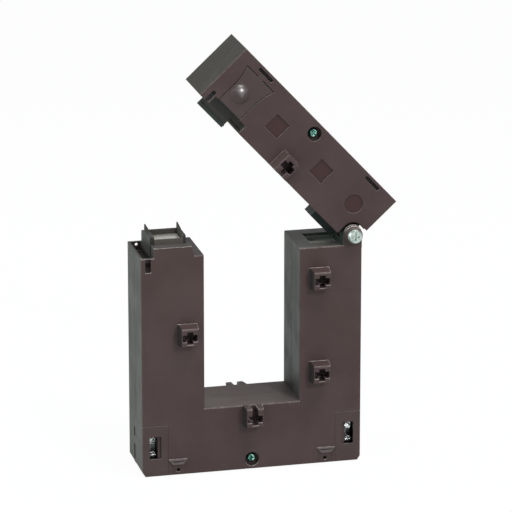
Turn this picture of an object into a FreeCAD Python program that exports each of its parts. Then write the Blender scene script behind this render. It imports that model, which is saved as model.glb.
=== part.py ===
import FreeCAD, Part
import os
import re
import Sketcher

# Split-core current transformer: a U-shaped base with a yoke bar hinged on its right leg.
# Frame: +X to the right, +Y to the back, +Z up; the origin is the middle of the bottom face.
# The yoke pieces are laid out with the bar closed on the legs, then swung open about the hinge.

SIZES = {
    # Base housing
    "BaseWidth": 184.0,
    "HousingDepth": 53.5,
    "WindowWidth": 80.0,
    "SillHeight": 55.5,
    "LegHeight": 186.6,
    "Wall": 2.2,
    "EdgeBevel": 0.6,
    "BevelWide": 2.4,
    "BevelTall": 3.6,
    "SeamWide": 0.5,
    "SeamDeep": 0.4,
    "TabHalf": 20.0,
    "TabReach": 4.0,
    "TabFit": 0.15,
    "Overrun": 1.0,
    # Laminated cores
    "CoreWidth": 22.0,
    "CoreSide": 15.0,
    "CoreBehind": 17.75,
    "CoreRound": 5.0,
    "LeftCoreRise": 9.4,
    "RightCoreSink": 5.2,
    "CoreFit": 0.3,
    "AirGap": 0.3,
    # Windings
    "BobbinWall": 1.2,
    "BobbinLift": 4.5,
    "BobbinDrop": 14.6,
    "WindingThick": 5.5,
    "WindingRound": 4.0,
    "FlangeFit": 0.3,
    "LeadRadius": 0.8,
    "LeadShift": 3.1,
    "LeadDrop": 4.0,
    "LeadSeat": 0.1,
    # Hinge
    "HingeInset": 7.8,
    "HingeRise": 9.2,
    "EarDepth": 12.0,
    "EarBossRadius": 6.9,
    "EarBossLength": 6.2,
    "EarRingRadius": 7.4,
    "EarRingLength": 2.4,
    "HingeScrewRadius": 2.5,
    "RunningFit": 0.05,
    "HingeHeadRadius": 6.0,
    "HingeHeadHeight": 4.0,
    "HingeEndShort": 0.5,
    "HeadBevel": 1.1,
    "EarRoot": 3.0,
    "NutAcross": 8.0,
    "NutHeight": 4.0,
    "NotchRadius": 9.9,
    "SideFit": 0.35,
    "OpenAngle": 47.1,
    # Yoke bar
    "YokeHeight": 52.2,
    "ClosingGap": 0.9,
    "YokeOverhang": 1.2,
    "YokeShort": 1.0,
    "YokeCoreRise": 8.5,
    "SpringThick": 0.5,
    "SpringWidth": 14.0,
    "SpringLength": 42.0,
    "SpringPlace": 42.0,
    # Snap collar on the left leg
    "TongueLeft": 10.8,
    "TongueRight": 42.1,
    "TongueFoot": 2.0,
    "TongueRise": 8.1,
    "TongueDepth": 10.8,
    "TongueBackWall": 1.6,
    "PlateThick": 3.0,
    "PlateFit": 0.6,
    "FrontWall": 1.4,
    "FrontWallRise": 1.4,
    "CollarInset": 4.0,
    "CollarBackRise": 9.8,
    "CollarRise": 13.2,
    "CollarRoomLeft": 4.4,
    "CollarRoomFit": 1.4,
    "ProngRise": 18.3,
    "ProngBehind": 0.45,
    "ProngFlat": 1.6,
    "ProngFoot": 2.6,
    "ProngTip": 0.9,
    "ProngStep": 0.4,
    "SwingFit": 0.8,
    # Sealing pocket at the left leg's outer corner
    "SealLeft": 1.8,
    "SealRight": 10.8,
    "SealDepth": 12.0,
    "SealBackDepth": 8.0,
    "SealSlotLeft": 3.5,
    "SealSlotRight": 8.2,
    "SealBridge": 0.9,
    "SealHoleRadius": 1.3,
    "SealHoleInset": 1.1,
    "SealHoleDrop": 2.8,
    "SealPinRise": 8.8,
    # Latch
    "LatchPanelThick": 2.2,
    "LatchPanelTop": 43.0,
    "LatchTopHalf": 15.6,
    "LatchHalf": 12.0,
    "LatchFlareLow": 28.5,
    "LatchShift": 1.0,
    "LatchCut": 0.55,
    "BridgeHalf": 2.65,
    "BridgeRise": 3.0,
    "BridgeCut": 0.1,
    "DomeRadius": 8.0,
    "DomeHeight": 3.2,
    "DomeRise": 23.1,
    "DomeShift": 2.6,
    "ShelfInset": 0.5,
    "ShelfFront": 0.4,
    "ShelfThick": 2.2,
    "HookLeft": 6.6,
    "HookRight": 35.4,
    "HookPlayLeft": 1.0,
    "HookPlayRight": 1.4,
    "HookThick": 2.0,
    "HookDrop": 6.5,
    "CellWall": 1.2,
    "CatchLedge": 0.7,
    "CatchLift": 0.6,
    "CatchBite": 0.5,
    "CatchPlay": 0.3,
    "HookFit": 0.7,
    # Right leg pocket and the yoke's boss
    "PocketHalfDepth": 13.4,
    "PocketLeftFit": 3.2,
    "PocketRightFit": 2.1,
    "PocketFloor": 4.0,
    "BossWall": 1.0,
    # Square sockets for fixing inserts
    "SocketBase": 17.0,
    "SocketBaseTall": 17.5,
    "SocketTaper": 1.5,
    "SocketTopTaper": 1.0,
    "SocketProud": 12.0,
    "SocketDeep": 12.0,
    "SocketBevel": 0.7,
    "SocketLevelTall": 5.9,
    "SocketLevelWide": 12.4,
    "SocketUprightWide": 5.2,
    "SocketUprightTall": 10.6,
    "LeftSocketInset": 37.8,
    "RightSocketInset": 35.8,
    "SocketLift": 25.0,
    "SocketDrop": 26.1,
    # Housing screws
    "ScrewRise": 8.5,
    "YokeScrewDrop": 9.0,
    "RecessRadius": 6.0,
    "RecessDeep": 5.5,
    "CupWall": 1.2,
    "ScrewRadius": 1.9,
    "ScrewHeadRadius": 3.9,
    "ScrewHeadHeight": 2.4,
    "ScrewLength": 32.0,
    "ScrewCross": 2.3,
    "ScrewCrossArm": 0.5,
    "ScrewCrossDeep": 1.4,
    "HingeCross": 3.2,
    "HingeCrossArm": 0.6,
    "HingeCrossDeep": 1.8,
    "PostHalf": 3.9,
    # Terminals
    "CoverWidth": 21.5,
    "CoverHeight": 43.2,
    "CoverThick": 2.0,
    "CoverBehind": 4.85,
    "CoverFit": 0.15,
    "TermLeft": 6.0,
    "TermRight": 15.6,
    "TermLow": 15.0,
    "TermHigh": 34.0,
    "ChamberBehind": 11.25,
    "ChamberFit": 0.2,
    "ChamberMargin": 3.0,
    "MouthShort": 4.0,
    "CornerBeyond": 2.0,
    "CornerWallRight": 14.8,
    "ClampLeft": 5.2,
    "ClampRight": 12.8,
    "ClampFront": 12.0,
    "ClampBehind": 9.25,
    "ClampLow": 8.0,
    "ClampHigh": 34.6,
    "TermScrewLow": 17.2,
    "TermScrewHigh": 29.4,
    "TermScrewRadius": 1.6,
    "TermHeadRadius": 2.9,
    "TermHeadHeight": 6.3,
    "TermHeadLift": 0.2,
    "TermSlotDeep": 0.8,
    "TermSlotHalf": 0.4,
    "TermShankShort": 0.5,
    "WireRadius": 1.9,
    "WireBehind": 4.95,
    "WireLow": 16.6,
    "WireHigh": 29.6,
    "WireSlotFoot": 5.4,
    "WireSlotRise": 4.0,
    "WireSlotFit": 0.3,
    "CoverLineFront": 7.0,
    "CoverLineShort": 1.5,
    "CoverLineDrop": 2.2,
    "CoverLineHalf": 0.2,
    # Small moulded details on the front
    "LugInner": 37.2,
    "LugOuter": 21.7,
    "LugSlope": 3.6,
    "LugLow": 9.2,
    "LugHigh": 13.6,
    "LugProud": 1.6,
    "LugRim": 1.2,
    "FootHoleInset": 30.0,
    "FootHoleRise": 4.0,
    "FootHoleRadius": 1.6,
    "FootHoleDeep": 4.5,
    "FootPostWall": 1.4,
    "FootFieldNear": 24.0,
    "FootFieldFar": 36.5,
    "FootFieldHigh": 9.0,
    "FootFieldDeep": 0.4,
    "TopSlotLength": 15.5,
    "TopSlotTall": 2.6,
    "TopSlotDrop": 3.8,
    "TopSlotRight": 64.5,
    "SnapArmHalf": 7.3,
    "SnapArmHigh": 2.8,
    "SnapArmLow": 4.8,
    "SnapArmFront": 0.9,
    "SnapArmRoot": 3.0,
    "FieldSide": 14.5,
    "FieldDeep": 0.9,
    "FieldSpread": 27.0,
    "FieldRise": 26.0,
    "RoundFieldRadius": 7.8,
    "RibThick": 2.0,
    "RibPlace": 32.0,
    "RibOver": 3.0,
    "RibUnder": 1.0,
}

LEFT = "(-BaseWidth/2)"
RIGHT = "(BaseWidth/2)"
FRONT = "(-HousingDepth/2)"
BACK = "(HousingDepth/2)"
TOP = "LegHeight"
LEG = "((BaseWidth + WindowWidth)/4)"
LEG_WIDTH = "((BaseWidth - WindowWidth)/2)"
CORE_HALF = "((BaseWidth - WindowWidth)/4 - CoreSide)"
CORE_BACK = "(HousingDepth/2 - CoreBehind)"
BOBBIN_LOW = "(SillHeight + BobbinLift)"
BOBBIN_HIGH = "(LegHeight - BobbinDrop)"
WINDING_LOW = "(SillHeight + BobbinLift + BobbinWall + FlangeFit)"
LEAD_INSET = "(CoreSide - LeadShift)"
SERIES_INSET = "((BaseWidth - WindowWidth)/2 - CoreSide + LeadShift)"
LEAD_Y = "(-(HousingDepth/2 - CoreBehind) - 2*CoreFit - BobbinWall - WindingThick/2)"
COVER_SIDE = "(HousingDepth/2 + CoverBehind)"
CLAMP_BACK = "(HousingDepth/2 + ClampBehind)"
CHAMBER_BACK = "(HousingDepth/2 + ChamberBehind)"
HINGE_X = "(BaseWidth/2 - HingeInset)"
HINGE_Z = "(LegHeight + HingeRise)"
YOKE_LOW = "(LegHeight + ClosingGap)"
YOKE_HIGH = "(LegHeight + ClosingGap + YokeHeight)"
YOKE_LEFT = "(-BaseWidth/2 - YokeOverhang)"
YOKE_RIGHT = "(BaseWidth/2 - YokeShort)"
YOKE_MIDDLE = "((YokeOverhang + YokeShort)/-2)"
CORE_LEFT_TOP = "(LegHeight + LeftCoreRise)"
CORE_RIGHT_TOP = "(LegHeight - RightCoreSink)"
YOKE_CORE_LOW = "(LegHeight + LeftCoreRise + YokeCoreRise)"
YOKE_CORE_HIGH = "(LegHeight + LeftCoreRise + YokeCoreRise + CoreWidth)"
SLOT_FRONT = "(-HousingDepth/2 + TongueDepth + CatchLedge)"
SLOT_BACK = "(-(HousingDepth/2 - CoreBehind) - AirGap - FrontWall)"
PANEL_LOW = "(LegHeight + TongueRise + SwingFit + LatchCut)"
PANEL_HIGH = "(LegHeight + ClosingGap + LatchPanelTop)"
SLOT_LEFT = "(HookLeft - HookPlayLeft)"
SLOT_RIGHT = "(HookRight + HookPlayRight)"
SLOT_FLOOR = "(LegHeight - HookDrop - CellWall)"
HOOK_FRONT = "(-HousingDepth/2 + TongueDepth + CatchLedge + HookFit)"
WIRE_BACK = "(HousingDepth/2 + WireBehind)"
WIRE_SLOT_FRONT = "(%s - WireRadius - WireSlotFit)" % WIRE_BACK
WIRE_SLOT_BACK = "(%s + WireRadius + WireSlotFit)" % WIRE_BACK
TOP_SLOTS = (("TopSlotLeft", "(-%s)" % LEG), ("TopSlotRight", "TopSlotRight"))
FLARE_STEPS = 4
FLARE_POWER = 1.6
WIRE_SLOTS = (
    ("WireSlotFoot", "WireLow + WireRadius + WireSlotFit"),
    ("WireHigh - WireSlotRise", "WireHigh + WireSlotRise"),
)

doc = FreeCAD.newDocument("SplitCoreTransformer")
sheet = doc.addObject("Spreadsheet::Sheet", "Sizes")
for row, (alias, number) in enumerate(SIZES.items(), start=1):
    sheet.set("A%d" % row, alias)
    sheet.set("B%d" % row, str(number))
    sheet.setAlias("B%d" % row, alias)
doc.recompute()


def formula(text):
    """Puts the sheet's name before each size's alias."""
    return re.sub(r"\b([A-Z][A-Za-z]+)\b", r"Sizes.\1", text)


def value(text):
    """The number that an expression has now."""
    return float(sheet.evalExpression(formula(text)))


def from_left(inset):
    """X of a place given by its distance from the base's left side."""
    return "(%s + %s)" % (LEFT, inset)


def from_front(depth):
    """Y of a place given by its distance behind the front face."""
    return "(%s + %s)" % (FRONT, depth)


def about(middle, half):
    """The span from a middle to both sides by half."""
    return ("%s - (%s)" % (middle, half), "%s + %s" % (middle, half))


def box(name, x, y, z):
    """A block between its low and high face along each axis."""
    block = doc.addObject("Part::Box", name)
    for size, place, (low, high) in (("Length", "x", x), ("Width", "y", y), ("Height", "z", z)):
        block.setExpression(size, formula("(%s) - (%s)" % (high, low)))
        block.setExpression("Placement.Base." + place, formula(low))
    return block


def side_box(name, side, inset, y, z):
    """A block at the left or right side, its insets counted from that side."""
    near, far = inset
    if side == "left":
        x = ("%s + %s" % (LEFT, near), "%s + %s" % (LEFT, far))
    else:
        x = ("%s - (%s)" % (RIGHT, far), "%s - (%s)" % (RIGHT, near))
    return box(name, x, y, z)


def side_x(side, inset):
    """X of a place given by its distance from the left or right side."""
    if side == "left":
        return "(%s + %s)" % (LEFT, inset)
    return "(%s - (%s))" % (RIGHT, inset)


TURNS = {
    "x": FreeCAD.Rotation(FreeCAD.Vector(0, 1, 0), 90),
    "y": FreeCAD.Rotation(FreeCAD.Vector(1, 0, 0), -90),
    "z": FreeCAD.Rotation(),
}


def place_along(obj, axis, across, low):
    """Lays an upright primitive along an axis; across holds its two other coordinates."""
    others = [letter for letter in "xyz" if letter != axis]
    obj.Placement = FreeCAD.Placement(FreeCAD.Vector(), TURNS[axis])
    for letter, text in zip(others, across):
        obj.setExpression("Placement.Base." + letter, formula(text))
    obj.setExpression("Placement.Base." + axis, formula(low))


def rod(name, axis, across, span, radius):
    """A cylinder along an axis from span[0] to span[1]."""
    cylinder = doc.addObject("Part::Cylinder", name)
    cylinder.setExpression("Radius", formula(radius))
    cylinder.setExpression("Height", formula("(%s) - (%s)" % (span[1], span[0])))
    place_along(cylinder, axis, across, span[0])
    return cylinder


def hex_rod(name, axis, across, span, across_flats):
    """A six-sided prism along an axis."""
    prism = doc.addObject("Part::Prism", name)
    prism.Polygon = 6
    prism.setExpression("Circumradius", formula("(%s) / 1.7320508" % across_flats))
    prism.setExpression("Height", formula("(%s) - (%s)" % (span[1], span[0])))
    place_along(prism, axis, across, span[0])
    return prism


def fuse(name, *pieces):
    """All pieces joined into one."""
    joined = doc.addObject("Part::MultiFuse", name)
    joined.Shapes = list(pieces)
    joined.Refine = True
    return joined


def cut(name, base, *tools):
    """The base less all tools."""
    tool = tools[0] if len(tools) == 1 else fuse(name + "Tools", *tools)
    result = doc.addObject("Part::Cut", name)
    result.Base = base
    result.Tool = tool
    result.Refine = True
    return result


def common(name, first, second):
    """What two pieces share."""
    result = doc.addObject("Part::Common", name)
    result.Base = first
    result.Tool = second
    result.Refine = True
    return result


def origin_plane(body, role):
    """One of the body's own origin planes."""
    return [item for item in body.Origin.OriginFeatures if item.Role == role][0]


def tie(sketch, axis, index, text):
    """Holds the start of a sketch line at a coordinate given by an expression."""
    kind = "DistanceX" if axis == 0 else "DistanceY"
    now = value(text)
    if abs(now) < 1e-9:
        axis_line = -2 if axis == 0 else -1
        sketch.addConstraint(Sketcher.Constraint("PointOnObject", index, 1, axis_line))
        return
    if now > 0:
        number = sketch.addConstraint(Sketcher.Constraint(kind, -1, 1, index, 1, now))
        sketch.setExpression("Constraints[%d]" % number, formula(text))
    else:
        number = sketch.addConstraint(Sketcher.Constraint(kind, index, 1, -1, 1, -now))
        sketch.setExpression("Constraints[%d]" % number, formula("-(%s)" % text))


def prism(name, role, corners, span):
    """A body: a closed outline of straight lines, padded along the plane's normal over span.

    XZ outlines run along Y, YZ outlines along X and XY outlines along Z.
    """
    body = doc.addObject("PartDesign::Body", name)
    sketch = body.newObject("Sketcher::SketchObject", name + "Outline")
    sketch.AttachmentSupport = [(origin_plane(body, role), "")]
    sketch.MapMode = "FlatFace"
    along_y = role == "XZ_Plane"
    offset = "-(%s)" % span[1] if along_y else span[0]
    sketch.setExpression("AttachmentOffset.Base.z", formula(offset))
    points = [FreeCAD.Vector(value(a), value(b), 0) for a, b in corners]
    for index, start in enumerate(points):
        end = points[(index + 1) % len(points)]
        sketch.addGeometry(Part.LineSegment(start, end), False)
    for index in range(len(points)):
        follower = (index + 1) % len(points)
        sketch.addConstraint(Sketcher.Constraint("Coincident", index, 2, follower, 1))
    for index, (a, b) in enumerate(corners):
        tie(sketch, 0, index, a)
        tie(sketch, 1, index, b)
    pad = body.newObject("PartDesign::Pad", name + "Pad")
    pad.Profile = sketch
    pad.setExpression("Length", formula("(%s) - (%s)" % (span[1], span[0])))
    sketch.Visibility = False
    return body


def dress_edges(body, kind, name, size, chosen):
    """Rounds or bevels the body's edges that the test picks; kind is Fillet or Chamfer."""
    doc.recompute()
    base = body.Tip
    names = ["Edge%d" % (i + 1) for i, edge in enumerate(base.Shape.Edges) if chosen(edge)]
    dressing = body.newObject("PartDesign::" + kind, name)
    dressing.Base = (base, names)
    dressing.setExpression("Radius" if kind == "Fillet" else "Size", formula(size))
    body.Tip = dressing
    return body


def lies_in_y(edge, places):
    """True for an edge that lies wholly in one of the planes at these Y values."""
    bounds = edge.BoundBox
    return bounds.YLength < 1e-6 and any(abs(bounds.YMin - place) < 1e-6 for place in places)


def runs_along_y(edge):
    """True for a straight edge along Y."""
    bounds = edge.BoundBox
    return bounds.XLength < 1e-6 and bounds.ZLength < 1e-6


def runs_along_z(edge):
    """True for a straight edge along Z."""
    bounds = edge.BoundBox
    return bounds.XLength < 1e-6 and bounds.YLength < 1e-6


def dressed(kind, name, base, size, chosen):
    """A copy of the base with the chosen edges rounded or bevelled."""
    doc.recompute()
    result = doc.addObject("Part::" + kind, name)
    result.Base = base
    number = value(size)
    result.Edges = [(i + 1, number, number) for i, edge in enumerate(base.Shape.Edges) if chosen(edge)]
    return result


# Fixing sockets

def socket(name, x, z, face, outward, open_side=None):
    """A tapered square boss on the front or back face, and the cross-shaped hole in it.

    open_side says where the cross runs out through the edge of the housing: "up" or "down".
    """
    boss = doc.addObject("Part::Wedge", name + "Boss")
    half, tall = "SocketBase/2", "SocketBaseTall/2"
    low_taper = "0" if open_side == "down" else "SocketTaper"
    high_taper = "0" if open_side == "up" else "SocketTopTaper"
    for prop, text in (
        ("Xmin", "-" + half), ("Xmax", half), ("Zmin", "-" + tall), ("Zmax", tall),
        ("X2min", "-%s + SocketTaper" % half), ("X2max", "%s - SocketTaper" % half),
        ("Z2min", "-%s + %s" % (tall, low_taper if outward < 0 else high_taper)),
        ("Z2max", "%s - %s" % (tall, high_taper if outward < 0 else low_taper)),
        ("Ymin", "0"), ("Ymax", "SocketProud + Wall/2"),
    ):
        boss.setExpression(prop, formula(text))
    turn = 180 if outward < 0 else 0
    boss.Placement = FreeCAD.Placement(FreeCAD.Vector(), FreeCAD.Rotation(FreeCAD.Vector(0, 0, 1), turn))
    root = "%s + Wall/2" % face if outward < 0 else "%s - Wall/2" % face
    for letter, text in (("x", x), ("y", root), ("z", z)):
        boss.setExpression("Placement.Base." + letter, formula(text))
    front = value("%s - SocketProud" % face if outward < 0 else "%s + SocketProud" % face)
    return dressed("Chamfer", name + "Bevel", boss, "SocketBevel", lambda edge: lies_in_y(edge, (front,)))


def socket_hole(name, x, z, face, outward, open_side=None):
    """The blind cross of a socket, its level arm wider and taller than the upright one."""
    mouth = "SocketProud + Overrun"
    floor = "SocketProud - SocketDeep"
    if outward < 0:
        y = ("%s - (%s)" % (face, mouth), "%s - (%s)" % (face, floor))
    else:
        y = ("%s + %s" % (face, floor), "%s + %s" % (face, mouth))
    upright = ("%s - SocketUprightWide/2" % x, "%s + SocketUprightWide/2" % x)
    pieces = [
        box(name + "Level", ("%s - SocketLevelWide/2" % x, "%s + SocketLevelWide/2" % x), y,
            ("%s - SocketLevelTall/2" % z, "%s + SocketLevelTall/2" % z)),
        box(name + "Upright", upright, y,
            ("%s - SocketUprightTall/2" % z, "%s + SocketUprightTall/2" % z)),
    ]
    if open_side == "up":
        pieces.append(box(name + "Mouth", upright, y, (z, "%s + SocketBaseTall" % z)))
    if open_side == "down":
        pieces.append(box(name + "Mouth", upright, y, ("%s - SocketBaseTall" % z, z)))
    return fuse(name, *pieces)


def sockets(prefix, places):
    """Bosses and holes of the sockets listed, on the front and the back."""
    bosses, holes = [], []
    for number, (x, z, open_side) in enumerate(places, start=1):
        for letter, face, outward in (("F", FRONT, -1), ("B", BACK, 1)):
            name = "%sSocket%s%d" % (prefix, letter, number)
            bosses.append(socket(name, x, z, face, outward, open_side))
            holes.append(socket_hole(name + "Hole", x, z, face, outward, open_side))
    return bosses, holes


# Screw posts that clamp two half shells

def square_post(name, x, z, y, half):
    """A square post along Y."""
    return box(name, about(x, half), y, about(z, half))


def screw_post(name, x, z):
    """The square cup that takes the head in front and the post behind it."""
    cup = square_post(name + "Cup", x, z, (from_front("Wall/2"), from_front("RecessDeep + Wall")),
                      "(RecessRadius + CupWall)")
    post = square_post(name + "Post", x, z, (from_front("RecessDeep"), BACK + " - Wall/2"), "PostHalf")
    return [cup, post]


def screw_post_holes(name, x, z):
    """The recess, the clearance hole in front and the blind hole in the back post."""
    recess = rod(name + "Recess", "y", (x, z), (from_front("-Overrun"), from_front("RecessDeep")),
                 "RecessRadius")
    hole = rod(name + "Hole", "y", (x, z),
               (from_front("RecessDeep - Overrun"), from_front("RecessDeep + ScrewLength + Overrun")),
               "ScrewRadius + RunningFit")
    return [recess, hole]


# Base housing

def base_outline(name, inset, span):
    """The U-shaped outline, each side moved in by inset, padded along Y over span."""
    side, bottom = "%s + %s" % (LEFT, inset), inset
    other = "%s - (%s)" % (RIGHT, inset)
    inner, sill, top = "WindowWidth/2 + %s" % inset, "SillHeight - (%s)" % inset, "LegHeight - (%s)" % inset
    corners = [
        ("%s + BevelWide" % side, bottom), ("%s - BevelWide" % other, bottom),
        (other, "%s + BevelTall" % bottom), (other, top), (inner, top), (inner, sill),
        ("-(%s)" % inner, sill), ("-(%s)" % inner, top), (side, top), (side, "%s + BevelTall" % bottom),
    ]
    return prism(name, "XZ_Plane", corners, span)


def base_block():
    """The solid outer form with its front and back outline edges bevelled."""
    body = base_outline("BaseBlock", "0", (FRONT, BACK))
    planes = (value(FRONT), value(BACK))
    return dress_edges(body, "Chamfer", "BaseEdges", "EdgeBevel", lambda edge: lies_in_y(edge, planes))


def tongue():
    """The flat-topped tongue in line with the front face, with a slanted foot."""
    corners = [
        (from_left("TongueLeft"), TOP + " - Wall/2"),
        (from_left("TongueRight + TongueFoot"), TOP + " - Wall/2"),
        (from_left("TongueRight + TongueFoot"), TOP),
        (from_left("TongueRight"), TOP + " + TongueRise"),
        (from_left("TongueLeft"), TOP + " + TongueRise"),
    ]
    return prism("Tongue", "XZ_Plane", corners, (FRONT, from_front("TongueDepth")))


def collar_plate(name, x):
    """A guide plate beside the core's end: level, with one prong behind the bar's core."""
    peak = "%s + ProngBehind" % CORE_BACK
    corners = [
        (SLOT_BACK, TOP + " - Wall/2"),
        (BACK + " - CollarInset", TOP + " - Wall/2"),
        (BACK + " - CollarInset", TOP + " + CollarBackRise"),
        (peak + " + ProngFlat + ProngStep", TOP + " + CollarRise"),
        (peak + " + ProngFlat", TOP + " + ProngRise"),
        (peak, TOP + " + ProngRise"),
        (peak + " - ProngFoot", TOP + " + CollarRise"),
        (SLOT_BACK, TOP + " + CollarRise"),
    ]
    near, far = x
    slope = prism(name + "Slope", "XZ_Plane", [
        (near + " + ProngTip", TOP + " + ProngRise"),
        (far, TOP + " + CollarRise + ProngStep"),
        (far + " + Overrun", TOP + " + CollarRise + ProngStep"),
        (far + " + Overrun", TOP + " + ProngRise + Overrun"),
        (near + " + ProngTip", TOP + " + ProngRise + Overrun"),
    ], (SLOT_BACK, BACK))
    return cut(name, prism(name + "Form", "YZ_Plane", corners, x), slope)


def left_leg_top():
    """Tongue, collar, latch cell and sealing cell on the left leg."""
    core_left, core_right = "(-%s - %s)" % (LEG, CORE_HALF), "(-%s + %s)" % (LEG, CORE_HALF)
    left_plate = (from_left("TongueLeft"), core_left + " - PlateFit")
    right_plate = (core_right + " + PlateFit", core_right + " + PlateFit + PlateThick")
    plates = [collar_plate("LeftPlate", left_plate), collar_plate("RightPlate", right_plate)]
    between = (left_plate[1] + " - PlateThick/2", right_plate[0] + " + PlateThick/2")
    back_wall = box("CollarWall", between, (CORE_BACK + " + PlateFit", CORE_BACK + " + PlateFit + Wall"),
                    (TOP + " - Wall/2", TOP + " + CollarRise"))
    front_wall = box("CollarFront", between, (SLOT_BACK, SLOT_BACK + " + FrontWall"),
                     (TOP + " - Wall/2", CORE_LEFT_TOP + " + FrontWallRise"))
    latch_cell = box("LatchCell",
                     (from_left(SLOT_LEFT + " - CellWall"), from_left(SLOT_RIGHT + " + CellWall")),
                     (SLOT_FRONT + " - CellWall", "-" + CORE_BACK),
                     (SLOT_FLOOR + " - CellWall", TOP + " - Wall/2"))
    seal_x = (from_left("Wall/2"), from_left("SealRight + CellWall"))
    seal_front = box("SealCell", seal_x, (from_front("Wall/2"), SLOT_BACK + " + CellWall"),
                     (TOP + " - SealDepth - CellWall", TOP + " - Wall/2"))
    seal_back = box("SealBackCell", seal_x, (SLOT_BACK, BACK + " - Wall/2"),
                    (TOP + " - SealBackDepth - CellWall", TOP + " - Wall/2"))
    return plates + [tongue(), back_wall, front_wall, latch_cell, seal_front, seal_back]


def left_leg_top_holes():
    """Openings of the left leg's top: core, tongue's hollow, latch slot and sealing pocket."""
    hollow = box("TongueHollow", (from_left("TongueLeft + Wall"), from_left("TongueRight - Wall")),
                 (from_front("Wall"), from_front("TongueDepth - TongueBackWall")),
                 (TOP + " - Wall - Overrun", TOP + " + TongueRise - Wall"))
    latch_x = (from_left(SLOT_LEFT), from_left(SLOT_RIGHT))
    latch_slot = box("LatchSlot", latch_x, (SLOT_FRONT, SLOT_BACK),
                     (SLOT_FLOOR, TOP + " + TongueRise + Overrun"))
    catch_window = box("CatchWindow", latch_x, (SLOT_FRONT + " - CellWall - Overrun", SLOT_FRONT),
                       (TOP + " - HookDrop + CatchLift", TOP + " - Wall"))
    core_hole = box("LeftCoreHole", about("-" + LEG, CORE_HALF + " + CoreFit"),
                    ("-%s - AirGap" % CORE_BACK, CORE_BACK + " + CoreFit"),
                    (SLOT_FLOOR + " - CellWall - Overrun", TOP + " + Overrun"))
    pocket_x = (from_left("SealLeft"), from_left("SealRight"))
    seal_pocket = box("SealPocket", pocket_x, (from_front("SealLeft"), SLOT_BACK),
                      (TOP + " - SealDepth", TOP + " + Overrun"))
    seal_back = box("SealBackPocket", pocket_x, (SLOT_BACK, BACK + " - SealLeft"),
                    (TOP + " - SealBackDepth", TOP + " + Overrun"))
    seal_slot = box("SealSlot", (from_left("SealSlotLeft"), from_left("SealSlotRight")),
                    (from_front("-Overrun"), from_front("SealLeft + Overrun")),
                    (TOP + " - SealDepth", TOP + " - SealBridge"))
    seal_hole = rod("SealHole", "y", (from_left("(SealSlotRight - SealHoleInset)"), TOP + " - SealHoleDrop"),
                    (BACK + " - SealLeft - Overrun", BACK + " + Overrun"), "SealHoleRadius")
    return [hollow, latch_slot, catch_window, core_hole, seal_pocket, seal_back, seal_slot, seal_hole]


def ear(name, near, far):
    """A hinge ear: an upright with a round head, tangent to the housing's side."""
    upright = box(name + "Upright", (HINGE_X + " - HingeInset", HINGE_X + " + HingeInset"),
                  (near, far), (TOP + " - EarRoot", HINGE_Z))
    head = rod(name + "Head", "y", (HINGE_X, HINGE_Z), (near, far), "HingeInset")
    return [upright, head]


def right_leg_top():
    """Both hinge ears, the front boss and the pocket's cell."""
    cell = box("PocketCell",
               ("%s - %s - PocketLeftFit - CellWall" % (LEG, CORE_HALF),
                "%s + %s + PocketRightFit + CellWall" % (LEG, CORE_HALF)),
               ("-PocketHalfDepth - CellWall", "PocketHalfDepth + CellWall"),
               (CORE_RIGHT_TOP + " - PocketFloor", TOP + " - Wall/2"))
    front = ear("FrontEar", FRONT, from_front("EarDepth"))
    back = ear("BackEar", BACK + " - EarDepth", BACK)
    ring = rod("EarRing", "y", (HINGE_X, HINGE_Z), (from_front("-EarRingLength"), from_front("Overrun")),
               "EarRingRadius")
    boss = rod("EarBoss", "y", (HINGE_X, HINGE_Z), (from_front("-EarBossLength"), from_front("Overrun")),
               "EarBossRadius")
    return [cell, ring, boss] + front + back


def right_leg_top_holes():
    """The pocket with the core's end at its floor, the hinge bore and the nut's seat."""
    pocket = box("Pocket",
                 ("%s - %s - PocketLeftFit" % (LEG, CORE_HALF),
                  "%s + %s + PocketRightFit" % (LEG, CORE_HALF)),
                 ("-PocketHalfDepth", "PocketHalfDepth"), (CORE_RIGHT_TOP, TOP + " + Overrun"))
    core_hole = box("RightCoreHole",
                    ("%s - %s - CoreFit" % (LEG, CORE_HALF), "%s + %s + CoreFit" % (LEG, CORE_HALF)),
                    ("-%s - CoreFit" % CORE_BACK, CORE_BACK + " + CoreFit"),
                    (CORE_RIGHT_TOP + " - PocketFloor - Overrun", CORE_RIGHT_TOP + " + Overrun"))
    bore = rod("EarBore", "y", (HINGE_X, HINGE_Z),
               (from_front("-EarBossLength - Overrun"), BACK + " + Overrun"),
               "HingeScrewRadius + RunningFit")
    nut_seat = hex_rod("NutSeat", "y", (HINGE_X, HINGE_Z),
                       (BACK + " - NutHeight - HingeEndShort", BACK + " + Overrun"),
                       "NutAcross + 2*RunningFit")
    return [pocket, core_hole, bore, nut_seat]


def lead_room(name, side, inset, z):
    """A square hole along Z with room for a lead."""
    half = "(LeadRadius + CoreFit)"
    return side_box(name, side, ("%s - %s" % (inset, half), "%s + %s" % (inset, half)),
                    ("%s - %s" % (LEAD_Y, half), "%s + %s" % (LEAD_Y, half)), z)


def terminal_corner(side):
    """The solid corner that carries a terminal and its cover."""
    word = side.capitalize()
    floor = side_box(word + "CornerFront", side, ("Wall/2", "CoverWidth + CornerBeyond"),
                     (from_front("Wall/2"), from_front("CoverThick + Wall + Overrun")),
                     ("Wall/2", "CoverHeight + Wall"))
    chamber = side_box(word + "CornerSide", side, ("Wall/2", "CornerWallRight"),
                       (from_front("Wall/2"), from_front(CHAMBER_BACK + " + Wall")),
                       ("Wall/2", "CoverHeight + Wall"))
    return [floor, chamber]


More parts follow.
